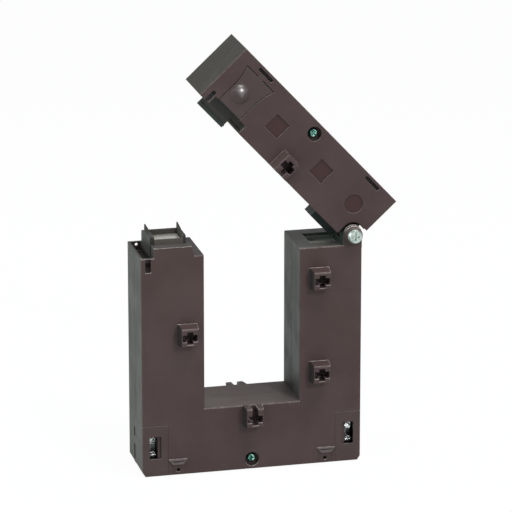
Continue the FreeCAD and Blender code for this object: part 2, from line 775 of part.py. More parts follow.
def terminal_corner_holes(side):
    """The cover's seat, the terminal's chamber and the hole for its lead."""
    word = side.capitalize()
    seat_z = ("-Overrun", "CoverHeight + CoverFit")
    seat_front = side_box(word + "SeatFront", side, ("-Overrun", "CoverWidth + CoverFit"),
                          (from_front("-Overrun"), from_front("CoverThick + CoverFit")), seat_z)
    seat_side = side_box(word + "SeatSide", side, ("-Overrun", "CoverThick + CoverFit"),
                         (from_front("-Overrun"), from_front(COVER_SIDE + " + CoverFit")), seat_z)
    chamber = side_box(word + "Chamber", side, ("ClampLeft - ChamberFit", "ClampRight + ChamberFit"),
                       (from_front("CoverThick"), from_front(CLAMP_BACK + " + ChamberFit")),
                       ("ClampLow - ChamberFit", "ClampHigh + CoreFit"))
    mouth = side_box(word + "ChamberMouth", side, ("CoverThick - Overrun", "ClampRight + ChamberFit"),
                     (from_front("CoverThick - Overrun"), from_front(COVER_SIDE + " - MouthShort")),
                     ("ClampLow - ChamberMargin", "ClampHigh + ChamberMargin"))
    slots = [side_box(word + "WallSlot%d" % number, side, ("-Overrun", "ClampLeft"),
                      (from_front(WIRE_SLOT_FRONT), from_front(WIRE_SLOT_BACK)), span)
             for number, span in enumerate(WIRE_SLOTS, start=1)]
    lead = lead_room(word + "LeadHole", side, LEAD_INSET, ("ClampHigh", "CoverHeight + Wall + Overrun"))
    return [seat_front, seat_side, chamber, mouth, lead] + slots


def lug(side):
    """A low trapezoid rim on the front face, wider at its top."""
    word = side.capitalize()

    def outline(name, margin, span):
        corners = [
            (side_x(side, "LugOuter + %s" % margin), "LugHigh - %s" % margin),
            (side_x(side, "LugInner - (%s)" % margin), "LugHigh - %s" % margin),
            (side_x(side, "LugInner - LugSlope - (%s)" % margin), "LugLow + %s" % margin),
            (side_x(side, "LugOuter + LugSlope + %s" % margin), "LugLow + %s" % margin),
        ]
        return prism(name, "XZ_Plane", corners, span)

    outer = outline(word + "LugRim", "0", (from_front("-LugProud"), from_front("Wall/2")))
    inner = outline(word + "LugField", "LugRim",
                    (from_front("-LugProud - Overrun"), from_front("-LugProud/4")))
    return cut(word + "Lug", outer, inner)


def cradle(name, x, rib_z, room_z):
    """A rib across the housing, with room for the core at a small fit."""
    rib = box(name + "Rib", ("%s - RibThick/2" % x, "%s + RibThick/2" % x),
              (from_front("Wall/2"), BACK + " - Wall/2"), rib_z)
    room = box(name + "Room", ("%s - RibThick" % x, "%s + RibThick" % x),
               ("-%s - CoreFit" % CORE_BACK, CORE_BACK + " + CoreFit"),
               ("%s - CoreFit" % room_z[0], "%s + CoreFit" % room_z[1]))
    return cut(name, rib, room)


def foot_marks(side):
    """The shallow field above the bottom edge, and the blind hole in it with its post."""
    word = side.capitalize()
    place = (side_x(side, "FootHoleInset"), "FootHoleRise")
    field = side_box(word + "FootField", side, ("FootFieldNear", "FootFieldFar"),
                     (from_front("-Overrun"), from_front("FootFieldDeep")), ("-Overrun", "FootFieldHigh"))
    hole = rod(word + "FootHole", "y", place, (from_front("-Overrun"), from_front("FootHoleDeep")),
               "FootHoleRadius")
    depth = (from_front("Wall/2"), from_front("FootHoleDeep + CellWall"))
    post = square_post(word + "FootPost", *place, depth, "(FootHoleRadius + FootPostWall)")
    return post, [field, hole]


def base_seam():
    """The fine groove round the housing where its two shells meet."""
    inner = fuse("BaseSeamCore", base_outline("BaseSeamIn", "SeamDeep", ("-SeamWide", "SeamWide")),
                 box("BaseSeamFoot", ("-TabHalf - TabFit", "TabHalf + TabFit"),
                     ("-SeamWide", "SeamWide"), ("-Overrun", "Wall")))
    return cut("BaseSeam", base_outline("BaseSeamOut", "-Overrun/2", ("-SeamWide/2", "SeamWide/2")), inner)


def base_housing():
    """The whole base housing before it is parted at the middle plane."""
    hollow = base_outline("BaseHollow", "Wall", (from_front("Wall"), BACK + " - Wall"))
    skin = cut("BaseSkin", base_block(), hollow)
    core_z = ("SillHeight/2 - CoreWidth/2", "SillHeight/2 + CoreWidth/2")
    ribs = [cradle("Sill%s" % word, x, ("Wall/2", core_z[1] + " + RibOver"), core_z)
            for word, x in (("LeftCradle", "-RibPlace"), ("RightCradle", "RibPlace"))]
    upper, lower = "(LegHeight - SocketDrop)", "(SillHeight + SocketLift)"
    bosses, holes = sockets("Base", [
        (from_left("LeftSocketInset"), "(%s + %s)/2" % (upper, lower), None),
        (side_x("right", "RightSocketInset"), upper, None),
        (side_x("right", "RightSocketInset"), lower, None),
        ("0", "SillHeight - SocketBaseTall/2", "up"),
    ])
    solids = [skin] + ribs + bosses + left_leg_top() + right_leg_top() + screw_post("Base", "0", "ScrewRise")
    tools = holes + left_leg_top_holes() + right_leg_top_holes() + screw_post_holes("Base", "0", "ScrewRise")
    for side in ("left", "right"):
        post, marks = foot_marks(side)
        solids += terminal_corner(side) + [lug(side), post]
        tools += terminal_corner_holes(side) + marks
    return cut("BaseHousing", fuse("BaseSolids", *solids), *(tools + [base_seam()]))


def halves(housing, front_label, back_label, x, z, tab=None):
    """Parts a housing at the middle plane into a front and a back shell.

    tab holds the X and Z span of a locating tab with which the back shell reaches forward.
    """
    front_side = box(front_label + "_side", x, (FRONT + " - 2*SocketProud", "0"), z)
    back_side = box(back_label + "_side", x, ("0", BACK + " + 2*SocketProud"), z)
    if tab:
        (left, right), (low, high) = tab
        front_side = cut(front_label + "_room", front_side,
                         box(front_label + "_tab", (left + " - TabFit", right + " + TabFit"),
                             ("-TabReach - TabFit", "Overrun"), (low, high + " + TabFit")))
        back_side = fuse(back_label + "_room", back_side,
                         box(back_label + "_tab", (left, right), ("-TabReach", "Overrun"), (low, high)))
    shells = []
    for label, side in ((front_label, front_side), (back_label, back_side)):
        shell = common(label, housing, side)
        shell.Label = label
        shells.append(shell)
    return shells


# Cores

def core_body(label, corners, radius, chosen):
    """A laminated core: its outline padded over the stack's depth, with rounded bends."""
    body = prism(label, "XZ_Plane", corners, ("-" + CORE_BACK, CORE_BACK))
    body = dress_edges(body, "Fillet", label + "Bends", radius, chosen)
    body.Label = label
    return body


def u_core():
    """The U core in the base; its left end stands in the collar, its right end in the pocket."""
    near, far = "%s - %s" % (LEG, CORE_HALF), "%s + %s" % (LEG, CORE_HALF)
    low, high = "SillHeight/2 - CoreWidth/2", "SillHeight/2 + CoreWidth/2"
    corners = [
        ("-(%s)" % far, low), (far, low), (far, CORE_RIGHT_TOP), (near, CORE_RIGHT_TOP), (near, high),
        ("-(%s)" % near, high), ("-(%s)" % near, CORE_LEFT_TOP), ("-(%s)" % far, CORE_LEFT_TOP),
    ]
    bend_top = value(high) + 1

    def bend(edge):
        return runs_along_y(edge) and edge.BoundBox.ZMax < bend_top

    return core_body("u_core", corners, "CoreRound", bend)


def yoke_core():
    """The C core in the bar; both feet stop an air gap above the U core's ends."""
    near, far = "%s - %s" % (LEG, CORE_HALF), "%s + %s" % (LEG, CORE_HALF)
    left_low, right_low = CORE_LEFT_TOP + " + AirGap", CORE_RIGHT_TOP + " + AirGap"
    corners = [
        ("-(%s)" % far, left_low), ("-(%s)" % near, left_low), ("-(%s)" % near, YOKE_CORE_LOW),
        (near, YOKE_CORE_LOW), (near, right_low), (far, right_low),
        (far, YOKE_CORE_HIGH), ("-(%s)" % far, YOKE_CORE_HIGH),
    ]
    bend_low = value(YOKE_CORE_LOW) + 1

    def bend(edge):
        return runs_along_y(edge) and edge.BoundBox.ZMin > bend_low

    return core_body("yoke_core", corners, "CoreRound", bend)


# Windings and leads

def bobbin(side):
    """The former round one leg of the core: a square tube with a flange at each end."""
    word = side.capitalize()
    middle = side_x(side, LEG_WIDTH + "/2")

    def around(name, grow, z):
        half_x, half_y = "(%s + CoreFit + %s)" % (CORE_HALF, grow), "(%s + CoreFit + %s)" % (CORE_BACK, grow)
        return box(word + name, ("%s - %s" % (middle, half_x), "%s + %s" % (middle, half_x)),
                   ("-" + half_y, half_y), z)

    def flange(name, z):
        reach = "(%s/2 - Wall - FlangeFit)" % LEG_WIDTH
        return box(word + name, ("%s - %s" % (middle, reach), "%s + %s" % (middle, reach)),
                   (from_front("Wall + FlangeFit"), BACK + " - Wall - FlangeFit"), z)

    tube = around("Tube", "BobbinWall", (BOBBIN_LOW, BOBBIN_HIGH))
    low = flange("LowFlange", (BOBBIN_LOW, BOBBIN_LOW + " + BobbinWall"))
    high = flange("HighFlange", (BOBBIN_HIGH + " - BobbinWall", BOBBIN_HIGH))
    bore = around("BobbinBore", "0", (BOBBIN_LOW + " - Overrun", BOBBIN_HIGH + " + Overrun"))
    room_z = (BOBBIN_LOW + " - Overrun", BOBBIN_LOW + " + BobbinWall + Overrun")
    rooms = [lead_room(word + name, side, inset, room_z)
             for name, inset in (("FlangeLead", LEAD_INSET), ("FlangeSeries", SERIES_INSET))]
    piece = cut(side + "_bobbin", fuse(word + "Former", tube, low, high), bore, *rooms)
    piece.Label = side + "_bobbin"
    return piece


def winding(side):
    """The copper layers on one bobbin, rounded at the corners."""
    word = side.capitalize()
    middle = side_x(side, LEG_WIDTH + "/2")
    inner_x = "(%s + 2*CoreFit + BobbinWall)" % CORE_HALF
    inner_y = "(%s + 2*CoreFit + BobbinWall)" % CORE_BACK
    block = box(word + "Coil", about(middle, inner_x + " + WindingThick"),
                ("-%s - WindingThick" % inner_y, "%s + WindingThick" % inner_y),
                (WINDING_LOW, BOBBIN_HIGH + " - BobbinWall - FlangeFit"))
    outer = dressed("Fillet", word + "CoilRound", block, "WindingRound", runs_along_z)
    inner = box(word + "CoilBore", about(middle, inner_x),
                ("-" + inner_y, inner_y), (BOBBIN_LOW, BOBBIN_HIGH))
    piece = cut(side + "_winding", outer, inner)
    piece.Label = side + "_winding"
    return piece


def lead(side):
    """The wire from a winding's lower end down to its terminal."""
    piece = rod(side + "_lead", "z", (side_x(side, LEAD_INSET), LEAD_Y),
                ("ClampHigh + LeadSeat", WINDING_LOW), "LeadRadius")
    piece.Label = side + "_lead"
    return piece


def series_lead():
    """The wire that joins the two windings under the window: down, across and up again."""
    low = "(SillHeight - Wall - LeadDrop)"
    left, right = side_x("left", SERIES_INSET), side_x("right", SERIES_INSET)
    across = rod("SeriesAcross", "x", (LEAD_Y, low), (left + " - LeadRadius", right + " + LeadRadius"),
                 "LeadRadius")
    uprights = [rod("Series" + word, "z", (x, LEAD_Y), (low + " - LeadRadius", WINDING_LOW), "LeadRadius")
                for word, x in (("Left", left), ("Right", right))]
    piece = fuse("series_lead", across, *uprights)
    piece.Label = "series_lead"
    return piece


# Terminals

def terminal_clamp(side):
    """The metal block with two wire holes from the side and two screw holes from the front."""
    word = side.capitalize()
    block = side_box(word + "ClampBlock", side, ("ClampLeft", "ClampRight"),
                     (from_front("ClampFront"), from_front(CLAMP_BACK)), ("ClampLow", "ClampHigh"))
    middle = side_x(side, "(ClampLeft + ClampRight)/2")
    near, far = side_x(side, "ClampLeft - Overrun"), side_x(side, "ClampRight + Overrun")
    span = (near, far) if side == "left" else (far, near)
    tools = []
    for level in ("Low", "High"):
        tools.append(rod(word + "Wire" + level, "x", (from_front(WIRE_BACK), "Wire" + level), span,
                         "WireRadius"))
        tools.append(rod(word + "ScrewHole" + level, "y", (middle, "TermScrew" + level),
                         (from_front("ClampFront - Overrun"), from_front(WIRE_BACK)),
                         "TermScrewRadius + RunningFit"))
    piece = cut(side + "_terminal_clamp", block, *tools)
    piece.Label = side + "_terminal_clamp"
    return piece


def terminal_screws(side):
    """Two slotted clamp screws with tall heads to the front."""
    word = side.capitalize()
    middle = side_x(side, "(ClampLeft + ClampRight)/2")
    face = "ClampFront - TermHeadLift - TermHeadHeight"
    screws = []
    for level in ("Low", "High"):
        height = "TermScrew" + level
        head = rod(word + "TermHead" + level, "y", (middle, height),
                   (from_front(face), from_front("ClampFront - TermHeadLift")), "TermHeadRadius")
        shank = rod(word + "TermShank" + level, "y", (middle, height),
                    (from_front("ClampFront - Overrun"),
                     from_front(WIRE_BACK + " - WireRadius - TermShankShort")),
                    "TermScrewRadius")
        slot = box(word + "TermSlot" + level, about(middle, "2*TermHeadRadius"),
                   (from_front(face + " - Overrun"), from_front(face + " + TermSlotDeep")),
                   about(height, "TermSlotHalf"))
        screws.append(cut(word + "TermScrew" + level, fuse(word + "TermBlank" + level, head, shank), slot))
    pair = doc.addObject("Part::Compound", side + "_terminal_screws")
    pair.Links = screws
    pair.Label = side + "_terminal_screws"
    return pair


def terminal_cover(side, block):
    """The snap-on cover: front and side wall round the corner, with a window and two wire notches."""
    word = side.capitalize()
    tall = ("-Overrun", "CoverHeight")
    front = side_box(word + "CoverFront", side, ("-Overrun", "CoverWidth"),
                     (from_front("-Overrun"), from_front("CoverThick")), tall)
    flank = side_box(word + "CoverFlank", side, ("-Overrun", "CoverThick"),
                     (from_front("-Overrun"), from_front(COVER_SIDE)), tall)
    bent = common(word + "CoverBent", fuse(word + "CoverWalls", front, flank), block)
    window = side_box(word + "CoverWindow", side, ("TermLeft", "TermRight"),
                      (from_front("-Overrun"), from_front("CoverThick + Overrun")), ("TermLow", "TermHigh"))
    notches = []
    for number, span in enumerate(WIRE_SLOTS, start=1):
        notches.append(side_box(word + "WireNotch%d" % number, side, ("-Overrun", "CoverThick + Overrun"),
                                (from_front(WIRE_SLOT_FRONT), from_front(COVER_SIDE + " + Overrun")), span))
    line_z = "(WireHigh - CoverLineDrop)"
    line = side_box(word + "CoverLine", side, ("-Overrun", "SeamDeep"),
                    (from_front("CoverThick + CoverLineFront"),
                     from_front(WIRE_SLOT_FRONT + " - CoverLineShort")),
                    (line_z + " - CoverLineHalf", line_z + " + CoverLineHalf"))
    piece = cut(side + "_terminal_cover", bent, window, line, *notches)
    piece.Label = side + "_terminal_cover"
    return piece


# Screws

def cross_recess(name, x, z, y, deep, half, arm):
    """The cross cut into a screw's head from the front."""
    span = ("%s - Overrun" % y, "%s + %s" % (y, deep))
    return [
        box(name + "Across", ("%s - %s" % (x, half), "%s + %s" % (x, half)), span,
            ("%s - %s" % (z, arm), "%s + %s" % (z, arm))),
        box(name + "Upright", ("%s - %s" % (x, arm), "%s + %s" % (x, arm)), span,
            ("%s - %s" % (z, half), "%s + %s" % (z, half))),
    ]


def pan_screw(label, x, z, seat, head, shank, cross):
    """A screw along Y: head with a bevelled crown, shank behind it, cross recess in the head."""
    head_radius, head_height = head
    shank_radius, length = shank
    face, shoulder = "%s - (%s)" % (seat, head_height), "%s - (%s)/2" % (seat, head_height)
    rim = rod(label + "Rim", "y", (x, z), (shoulder, seat), head_radius)
    crown = doc.addObject("Part::Cone", label + "Crown")
    crown.setExpression("Radius1", formula("%s - HeadBevel" % head_radius))
    crown.setExpression("Radius2", formula(head_radius))
    crown.setExpression("Height", formula("(%s)/2" % head_height))
    place_along(crown, "y", (x, z), face)
    stem = rod(label + "Stem", "y", (x, z), (shoulder, "%s + %s" % (seat, length)), shank_radius)
    recess = cross_recess(label + "Cross", x, z, face, *cross)
    piece = cut(label, fuse(label + "Blank", rim, crown, stem), *recess)
    piece.Label = label
    return piece


def hinge_nut():
    """The hexagon nut in the back ear."""
    blank = hex_rod("NutHex", "y", (HINGE_X, HINGE_Z), (BACK + " - NutHeight", BACK), "NutAcross")
    bore = rod("NutBore", "y", (HINGE_X, HINGE_Z), (BACK + " - NutHeight - Overrun", BACK + " + Overrun"),
               "HingeScrewRadius + RunningFit")
    piece = cut("hinge_nut", blank, bore)
    piece.Label = "hinge_nut"
    return piece


# Yoke bar, laid out closed

def yoke_block():
    """The bar's outer form with its front and back outline edges bevelled."""
    corners = [(YOKE_LEFT, YOKE_LOW), (YOKE_RIGHT, YOKE_LOW), (YOKE_RIGHT, YOKE_HIGH), (YOKE_LEFT, YOKE_HIGH)]
    body = prism("YokeBlock", "XZ_Plane", corners, (FRONT, BACK))
    planes = (value(FRONT), value(BACK))
    return dress_edges(body, "Chamfer", "YokeEdges", "EdgeBevel", lambda edge: lies_in_y(edge, planes))


def hinge_notch(name, y):
    """The space that a hinge ear needs: a round roof over the ear, open to the right and below."""
    right = YOKE_RIGHT + " + NotchRadius"
    roof = rod(name + "Roof", "y", (HINGE_X, HINGE_Z), y, "NotchRadius")
    below = box(name + "Below", (HINGE_X + " - NotchRadius", right), y,
                (YOKE_LOW + " - NotchRadius", HINGE_Z))
    beside = box(name + "Beside", (HINGE_X + " + HingeInset/2", right), y,
                 (HINGE_Z + " - Overrun", HINGE_Z + " + NotchRadius"))
    return fuse(name, roof, below, beside)


def latch_outline(name, grow, y, low, high):
    """The latch panel's outline: straight sides that flare out towards the top."""
    middle = "(-%s - LatchShift)" % LEG
    rise = "(LatchPanelTop - LatchFlareLow)"
    right = [("LatchHalf", low), ("LatchHalf", YOKE_LOW + " + LatchFlareLow")]
    for step in range(1, FLARE_STEPS):
        share = step / FLARE_STEPS
        right.append(("LatchHalf + (LatchTopHalf - LatchHalf)*%.4f" % share ** FLARE_POWER,
                      YOKE_LOW + " + LatchFlareLow + %s*%.4f" % (rise, share)))
    right.append(("LatchTopHalf", high))
    corners = [("%s + %s + %s" % (middle, half, grow), z) for half, z in right]
    corners += [("%s - (%s) - %s" % (middle, half, grow), z) for half, z in reversed(right)]
    return prism(name, "XZ_Plane", corners, y)


def latch_window():
    """The cut in the front wall round the latch panel, and the slot for its bridge."""
    middle = "(-%s - LatchShift)" % LEG
    wall = (from_front("-Overrun"), from_front("Wall + Overrun"))
    panel = latch_outline("LatchWindow", "LatchCut", wall, PANEL_LOW + " - LatchCut - Overrun",
                          PANEL_HIGH + " + LatchCut")
    bridge = box("BridgeSlot",
                 ("%s - BridgeHalf - BridgeCut" % middle, "%s + BridgeHalf + BridgeCut" % middle), wall,
                 (PANEL_HIGH + " - Overrun", PANEL_HIGH + " + BridgeRise + BridgeCut"))
    return [panel, bridge]


def hinge_end():
    """The bar's hinge end: a filled corner with room for both ears, and the knuckle between them."""
    ear_room = "(EarDepth + SideFit)"
    right = YOKE_RIGHT + " + NotchRadius"
    corner = box("HingeCorner", (HINGE_X + " - NotchRadius - Wall", YOKE_RIGHT + " - Wall/2"),
                 (from_front("Wall/2"), BACK + " - Wall/2"),
                 (YOKE_LOW + " + Wall/2", HINGE_Z + " + NotchRadius + Wall"))
    knuckle_y = (from_front(ear_room), BACK + " - " + ear_room)
    room = box("CornerCut", (HINGE_X + " - NotchRadius", right), knuckle_y,
               (YOKE_LOW + " - Overrun", HINGE_Z + " + NotchRadius"))
    notches = [hinge_notch("FrontNotch", (from_front("-Overrun"), from_front(ear_room))),
               hinge_notch("BackNotch", (BACK + " - " + ear_room, BACK + " + Overrun"))]
    knuckle = rod("Knuckle", "y", (HINGE_X, HINGE_Z), knuckle_y, "HingeInset")
    neck = box("Neck", (HINGE_X + " - HingeInset", HINGE_X + " + HingeInset/2"), knuckle_y,
               (HINGE_Z, HINGE_Z + " + NotchRadius + Wall/2"))
    return corner, [room] + notches, [knuckle, neck]


def foot_boss():
    """The boss that carries the core's foot down into the right leg's pocket, and its hollow."""
    left, right = "%s - %s - CoreFit" % (LEG, CORE_HALF), "%s + %s + CoreFit" % (LEG, CORE_HALF)
    half = "(%s + CoreFit)" % CORE_BACK
    boss = box("FootBoss", (left + " - BossWall", right + " + BossWall"),
               ("-%s - BossWall" % half, half + " + BossWall"),
               (CORE_RIGHT_TOP + " + AirGap", YOKE_LOW + " + Wall"))
    room = box("FootRoom", (left, right), ("-" + half, half), (CORE_RIGHT_TOP, YOKE_CORE_HIGH))
    return boss, room


def yoke_seam():
    """The fine groove round the bar where its two shells meet."""
    outer = box("YokeSeamOut", (YOKE_LEFT + " - Overrun", YOKE_RIGHT + " + Overrun"),
                ("-SeamWide/2", "SeamWide/2"),
                (YOKE_LOW + " + Wall", YOKE_HIGH + " + Overrun"))
    inner = box("YokeSeamIn", (YOKE_LEFT + " + SeamDeep", YOKE_RIGHT + " - SeamDeep"),
                ("-SeamWide", "SeamWide"),
                (YOKE_LOW, YOKE_HIGH + " - SeamDeep"))
    return cut("YokeSeam", outer, inner)


def yoke_housing():
    """The whole bar housing before it is parted at the middle plane."""
    hollow = box("YokeHollow", (YOKE_LEFT + " + Wall", YOKE_RIGHT + " - Wall"),
                 (from_front("Wall"), BACK + " - Wall"), (YOKE_LOW + " + Wall", YOKE_HIGH + " - Wall"))
    skin = cut("YokeSkin", yoke_block(), hollow)
    corner, rooms, knuckle = hinge_end()
    shell = cut("YokeShell", fuse("YokeFilled", skin, corner), *rooms)
    boss, foot_room = foot_boss()
    bore = rod("KnuckleBore", "y", (HINGE_X, HINGE_Z), (FRONT, BACK), "HingeScrewRadius + RunningFit")
    ribs = [cradle("Bar%s" % word, x, (YOKE_LOW + " + Wall/2", YOKE_CORE_HIGH + " - RibUnder"),
                   (YOKE_CORE_LOW, YOKE_CORE_HIGH))
            for word, x in (("LeftCradle", "-RibPlace"), ("RightCradle", "RibPlace"))]
    wall_x = from_left("TongueRight + TongueFoot + SwingFit + CellWall")
    partition = box("Partition", (wall_x, wall_x + " + CellWall"), (from_front("Wall/2"), BACK + " - Wall/2"),
                    (YOKE_LOW + " + Wall/2", YOKE_CORE_LOW + " - CoreFit"))
    bosses, holes = sockets("Yoke", [(YOKE_MIDDLE, YOKE_LOW + " + SocketBaseTall/2", "down")])
    screw_z = YOKE_HIGH + " - YokeScrewDrop"
    solids = [shell, boss, partition] + knuckle + ribs + bosses + screw_post("Yoke", YOKE_MIDDLE, screw_z)
    tools = holes + screw_post_holes("Yoke", YOKE_MIDDLE, screw_z) + [foot_room, bore]
    tools += latch_window() + yoke_left_end() + yoke_front_marks() + [yoke_seam()]
    return cut("YokeHousing", fuse("YokeSolids", *solids), *tools)


def yoke_left_end():
    """Openings of the free end: room for the tongue, the collar, the sealing pin and the catch."""
    right = from_left("TongueRight + TongueFoot + SwingFit")
    tongue_room = box("TongueRoom", (from_left("TongueLeft - 2*SwingFit"), right),
                      (from_front("-Overrun"), from_front("TongueDepth + SideFit")),
                      (YOKE_LOW + " - Overrun", TOP + " + TongueRise + SwingFit"))
    collar_room = box("CollarRoom", (from_left("CollarRoomLeft"), right),
                      (from_front("Wall"), BACK + " - CollarInset + CollarRoomFit"),
                      (YOKE_LOW + " - Overrun", YOKE_LOW + " + Wall + SideFit"))
    slot_middle = from_left("(SealSlotLeft + SealSlotRight)/2")
    slot_half = "(SealSlotRight - SealSlotLeft)*0.4"
    wall = (from_front("-Overrun"), from_front("Wall + SideFit"))
    seal_slot = box("BarSealSlot", about(slot_middle, slot_half), wall,
                    (YOKE_LOW + " - Overrun", YOKE_LOW + " + SealPinRise"))
    seal_round = rod("BarSealRound", "y", (slot_middle, YOKE_LOW + " + SealPinRise"), wall, slot_half)
    return [tongue_room, collar_room, seal_slot, seal_round]


def yoke_front_marks():
    """Snap slots near the bar's top edge and the plain sunk fields on its front."""
    tools = []
    slot_z = YOKE_HIGH + " - TopSlotDrop"
    for name, x in TOP_SLOTS:
        tools.append(box(name + "Cut", ("%s - TopSlotLength/2" % x, "%s + TopSlotLength/2" % x),
                         (from_front("-Overrun"), from_front("Wall + Overrun")),
                         (slot_z + " - TopSlotTall/2", slot_z + " + TopSlotTall/2")))
    field_y = (from_front("-Overrun"), from_front("FieldDeep"))
    field_z = about(YOKE_LOW + " + FieldRise", "FieldSide/2")
    for name, x in (("FieldLeft", YOKE_MIDDLE + " - FieldSpread"),
                    ("FieldRight", YOKE_MIDDLE + " + FieldSpread")):
        tools.append(box(name, about(x, "FieldSide/2"), field_y, field_z))
    tools.append(rod("FieldRound", "y", (LEG, YOKE_LOW + " + FieldRise"), field_y, "RoundFieldRadius"))
    return tools


def snap_arms():
    """The back shell's arms that reach forward into the snap slots of the front shell."""
    arms = []
    for name, x in TOP_SLOTS:
        across = ("%s - SnapArmHalf" % x, "%s + SnapArmHalf" % x)
        arms.append(box(name + "Arm", across, (from_front("SnapArmFront"), "SnapArmRoot"),
                        (YOKE_HIGH + " - SnapArmLow", YOKE_HIGH + " - SnapArmHigh")))
        arms.append(box(name + "Root", across, ("0", "SnapArmRoot"),
                        (YOKE_HIGH + " - SnapArmLow", YOKE_HIGH + " - Wall/2")))
    return arms


def leaf_springs():
    """Two bowed leaf springs that press the bar's core towards the base."""
    rise = "(%s - Wall - %s - 2*SideFit)" % (YOKE_HIGH, YOKE_CORE_HIGH)
    bow = "((SpringLength*SpringLength/4 + %s*%s)/(2*%s))" % (rise, rise, rise)
    centre_z = "(%s - Wall - SideFit - %s)" % (YOKE_HIGH, bow)
    leaves = []
    for word, x in (("Left", "-SpringPlace"), ("Right", "SpringPlace")):
        y = ("-SpringWidth/2", "SpringWidth/2")
        ring = cut(word + "LeafRing", rod(word + "LeafOuter", "y", (x, centre_z), y, bow),
                   rod(word + "LeafInner", "y", (x, centre_z), ("%s - Overrun" % y[0], "%s + Overrun" % y[1]),
                       "%s - SpringThick" % bow))
        room = box(word + "LeafRoom", ("%s - SpringLength" % x, "%s + SpringLength" % x), y,
                   (YOKE_CORE_HIGH + " + SideFit", YOKE_HIGH))
        leaves.append(common(word + "Leaf", ring, room))
    pair = doc.addObject("Part::Compound", "core_leaf_springs")
    pair.Links = leaves
    pair.Label = "core_leaf_springs"
    return pair


def thumb_dome(middle):
    """The thumb dome: a ball's cap standing proud of the latch panel."""
    ball_radius = "((DomeRadius*DomeRadius + DomeHeight*DomeHeight)/(2*DomeHeight))"
    centre = middle + " - DomeShift"
    ball = doc.addObject("Part::Sphere", "DomeBall")
    ball.setExpression("Radius", formula(ball_radius))
    for letter, text in (("x", centre), ("y", from_front("-DomeHeight + %s" % ball_radius)),
                         ("z", YOKE_LOW + " + DomeRise")):
        ball.setExpression("Placement.Base." + letter, formula(text))
    room = box("DomeRoom", ("%s - 2*DomeRadius" % centre, "%s + 2*DomeRadius" % centre),
               (from_front("-2*DomeHeight"), from_front("LatchPanelThick/4")), (YOKE_LOW, YOKE_HIGH))
    return common("Dome", ball, room)


def latch():
    """The release latch: a panel with a thumb dome, its shelf and the hook behind the tongue."""
    middle = "(-%s - LatchShift)" % LEG
    panel = latch_outline("LatchPanel", "0", (FRONT, from_front("LatchPanelThick")), PANEL_LOW, PANEL_HIGH)
    bridge = box("LatchBridge", ("%s - BridgeHalf" % middle, "%s + BridgeHalf" % middle),
                 (FRONT, from_front("LatchPanelThick")),
                 (PANEL_HIGH + " - Overrun", PANEL_HIGH + " + BridgeRise"))
    back = HOOK_FRONT + " + HookThick"
    shelf = box("Shelf", ("%s - LatchHalf + ShelfInset" % middle, "%s + LatchHalf - ShelfInset" % middle),
                (from_front("ShelfFront"), back), (PANEL_LOW, PANEL_LOW + " + ShelfThick"))
    low, catch = TOP + " - HookDrop + ClosingGap", TOP + " - Wall - CatchPlay"
    nose = SLOT_FRONT + " - CatchBite"
    hook = prism("Hook", "YZ_Plane", [
        (HOOK_FRONT, PANEL_LOW + " + ShelfThick"), (HOOK_FRONT, catch), (nose, catch),
        (nose, catch + " - CatchLedge"), (HOOK_FRONT + " + CatchBite", low), (back, low),
        (back, PANEL_LOW + " + ShelfThick"),
    ], (from_left("HookLeft"), from_left("HookRight")))
    piece = fuse("latch_tongue", panel, bridge, thumb_dome(middle), shelf, hook)
    piece.Label = "latch_tongue"
    return piece


# The part

def build():
    """Makes every piece; returns the base pieces and the yoke pieces."""
    reach_x = ("-BaseWidth", "BaseWidth")
    screw = (("ScrewHeadRadius", "ScrewHeadHeight"), ("ScrewRadius", "ScrewLength"),
             ("ScrewCrossDeep", "ScrewCross", "ScrewCrossArm"))
    pieces = halves(base_housing(), "base_front_shell", "base_back_shell", reach_x,
                    ("-Overrun", "2*LegHeight"), (("-TabHalf", "TabHalf"), ("-Overrun/2", "Wall")))
    pieces += [u_core(), series_lead(), hinge_nut()]
    envelope = doc.getObject("BaseBlock")
    for side in ("left", "right"):
        pieces += [bobbin(side), winding(side), lead(side), terminal_clamp(side), terminal_screws(side),
                   terminal_cover(side, envelope)]
    pieces.append(pan_screw("base_screw", "0", "ScrewRise", from_front("RecessDeep"), *screw))
    pieces.append(pan_screw("hinge_screw", HINGE_X, HINGE_Z, from_front("-EarBossLength"),
                            ("HingeHeadRadius", "HingeHeadHeight"),
                            ("HingeScrewRadius", "HousingDepth + EarBossLength - HingeEndShort"),
                            ("HingeCrossDeep", "HingeCross", "HingeCrossArm")))
    front, back = halves(yoke_housing(), "yoke_front_shell", "yoke_back_half", reach_x, ("0", "2*LegHeight"))
    armed = fuse("yoke_back_shell", back, *snap_arms())
    armed.Label = "yoke_back_shell"
    swung = [front, armed, yoke_core(), leaf_springs(), latch()]
    swung.append(pan_screw("yoke_screw", YOKE_MIDDLE, YOKE_HIGH + " - YokeScrewDrop",
                           from_front("RecessDeep"), *screw))
    return pieces, swung


def swing_open(pieces):
    """Turns the closed yoke pieces about the hinge axis to the open pose."""
    pivot = FreeCAD.Vector(value(HINGE_X), 0, value(HINGE_Z))
    turn = FreeCAD.Rotation(FreeCAD.Vector(0, 1, 0), value("OpenAngle"))
    swing = FreeCAD.Placement(FreeCAD.Vector(), turn, pivot)
    for piece in pieces:
        piece.Placement = swing.multiply(piece.Placement)


base_pieces, yoke_pieces = build()
doc.recompute()
swing_open(yoke_pieces)
doc.recompute()

for item in doc.Objects:
    if "Invalid" in item.State or "Error" in item.State:
        raise RuntimeError("%s did not recompute: %s" % (item.Name, item.State))

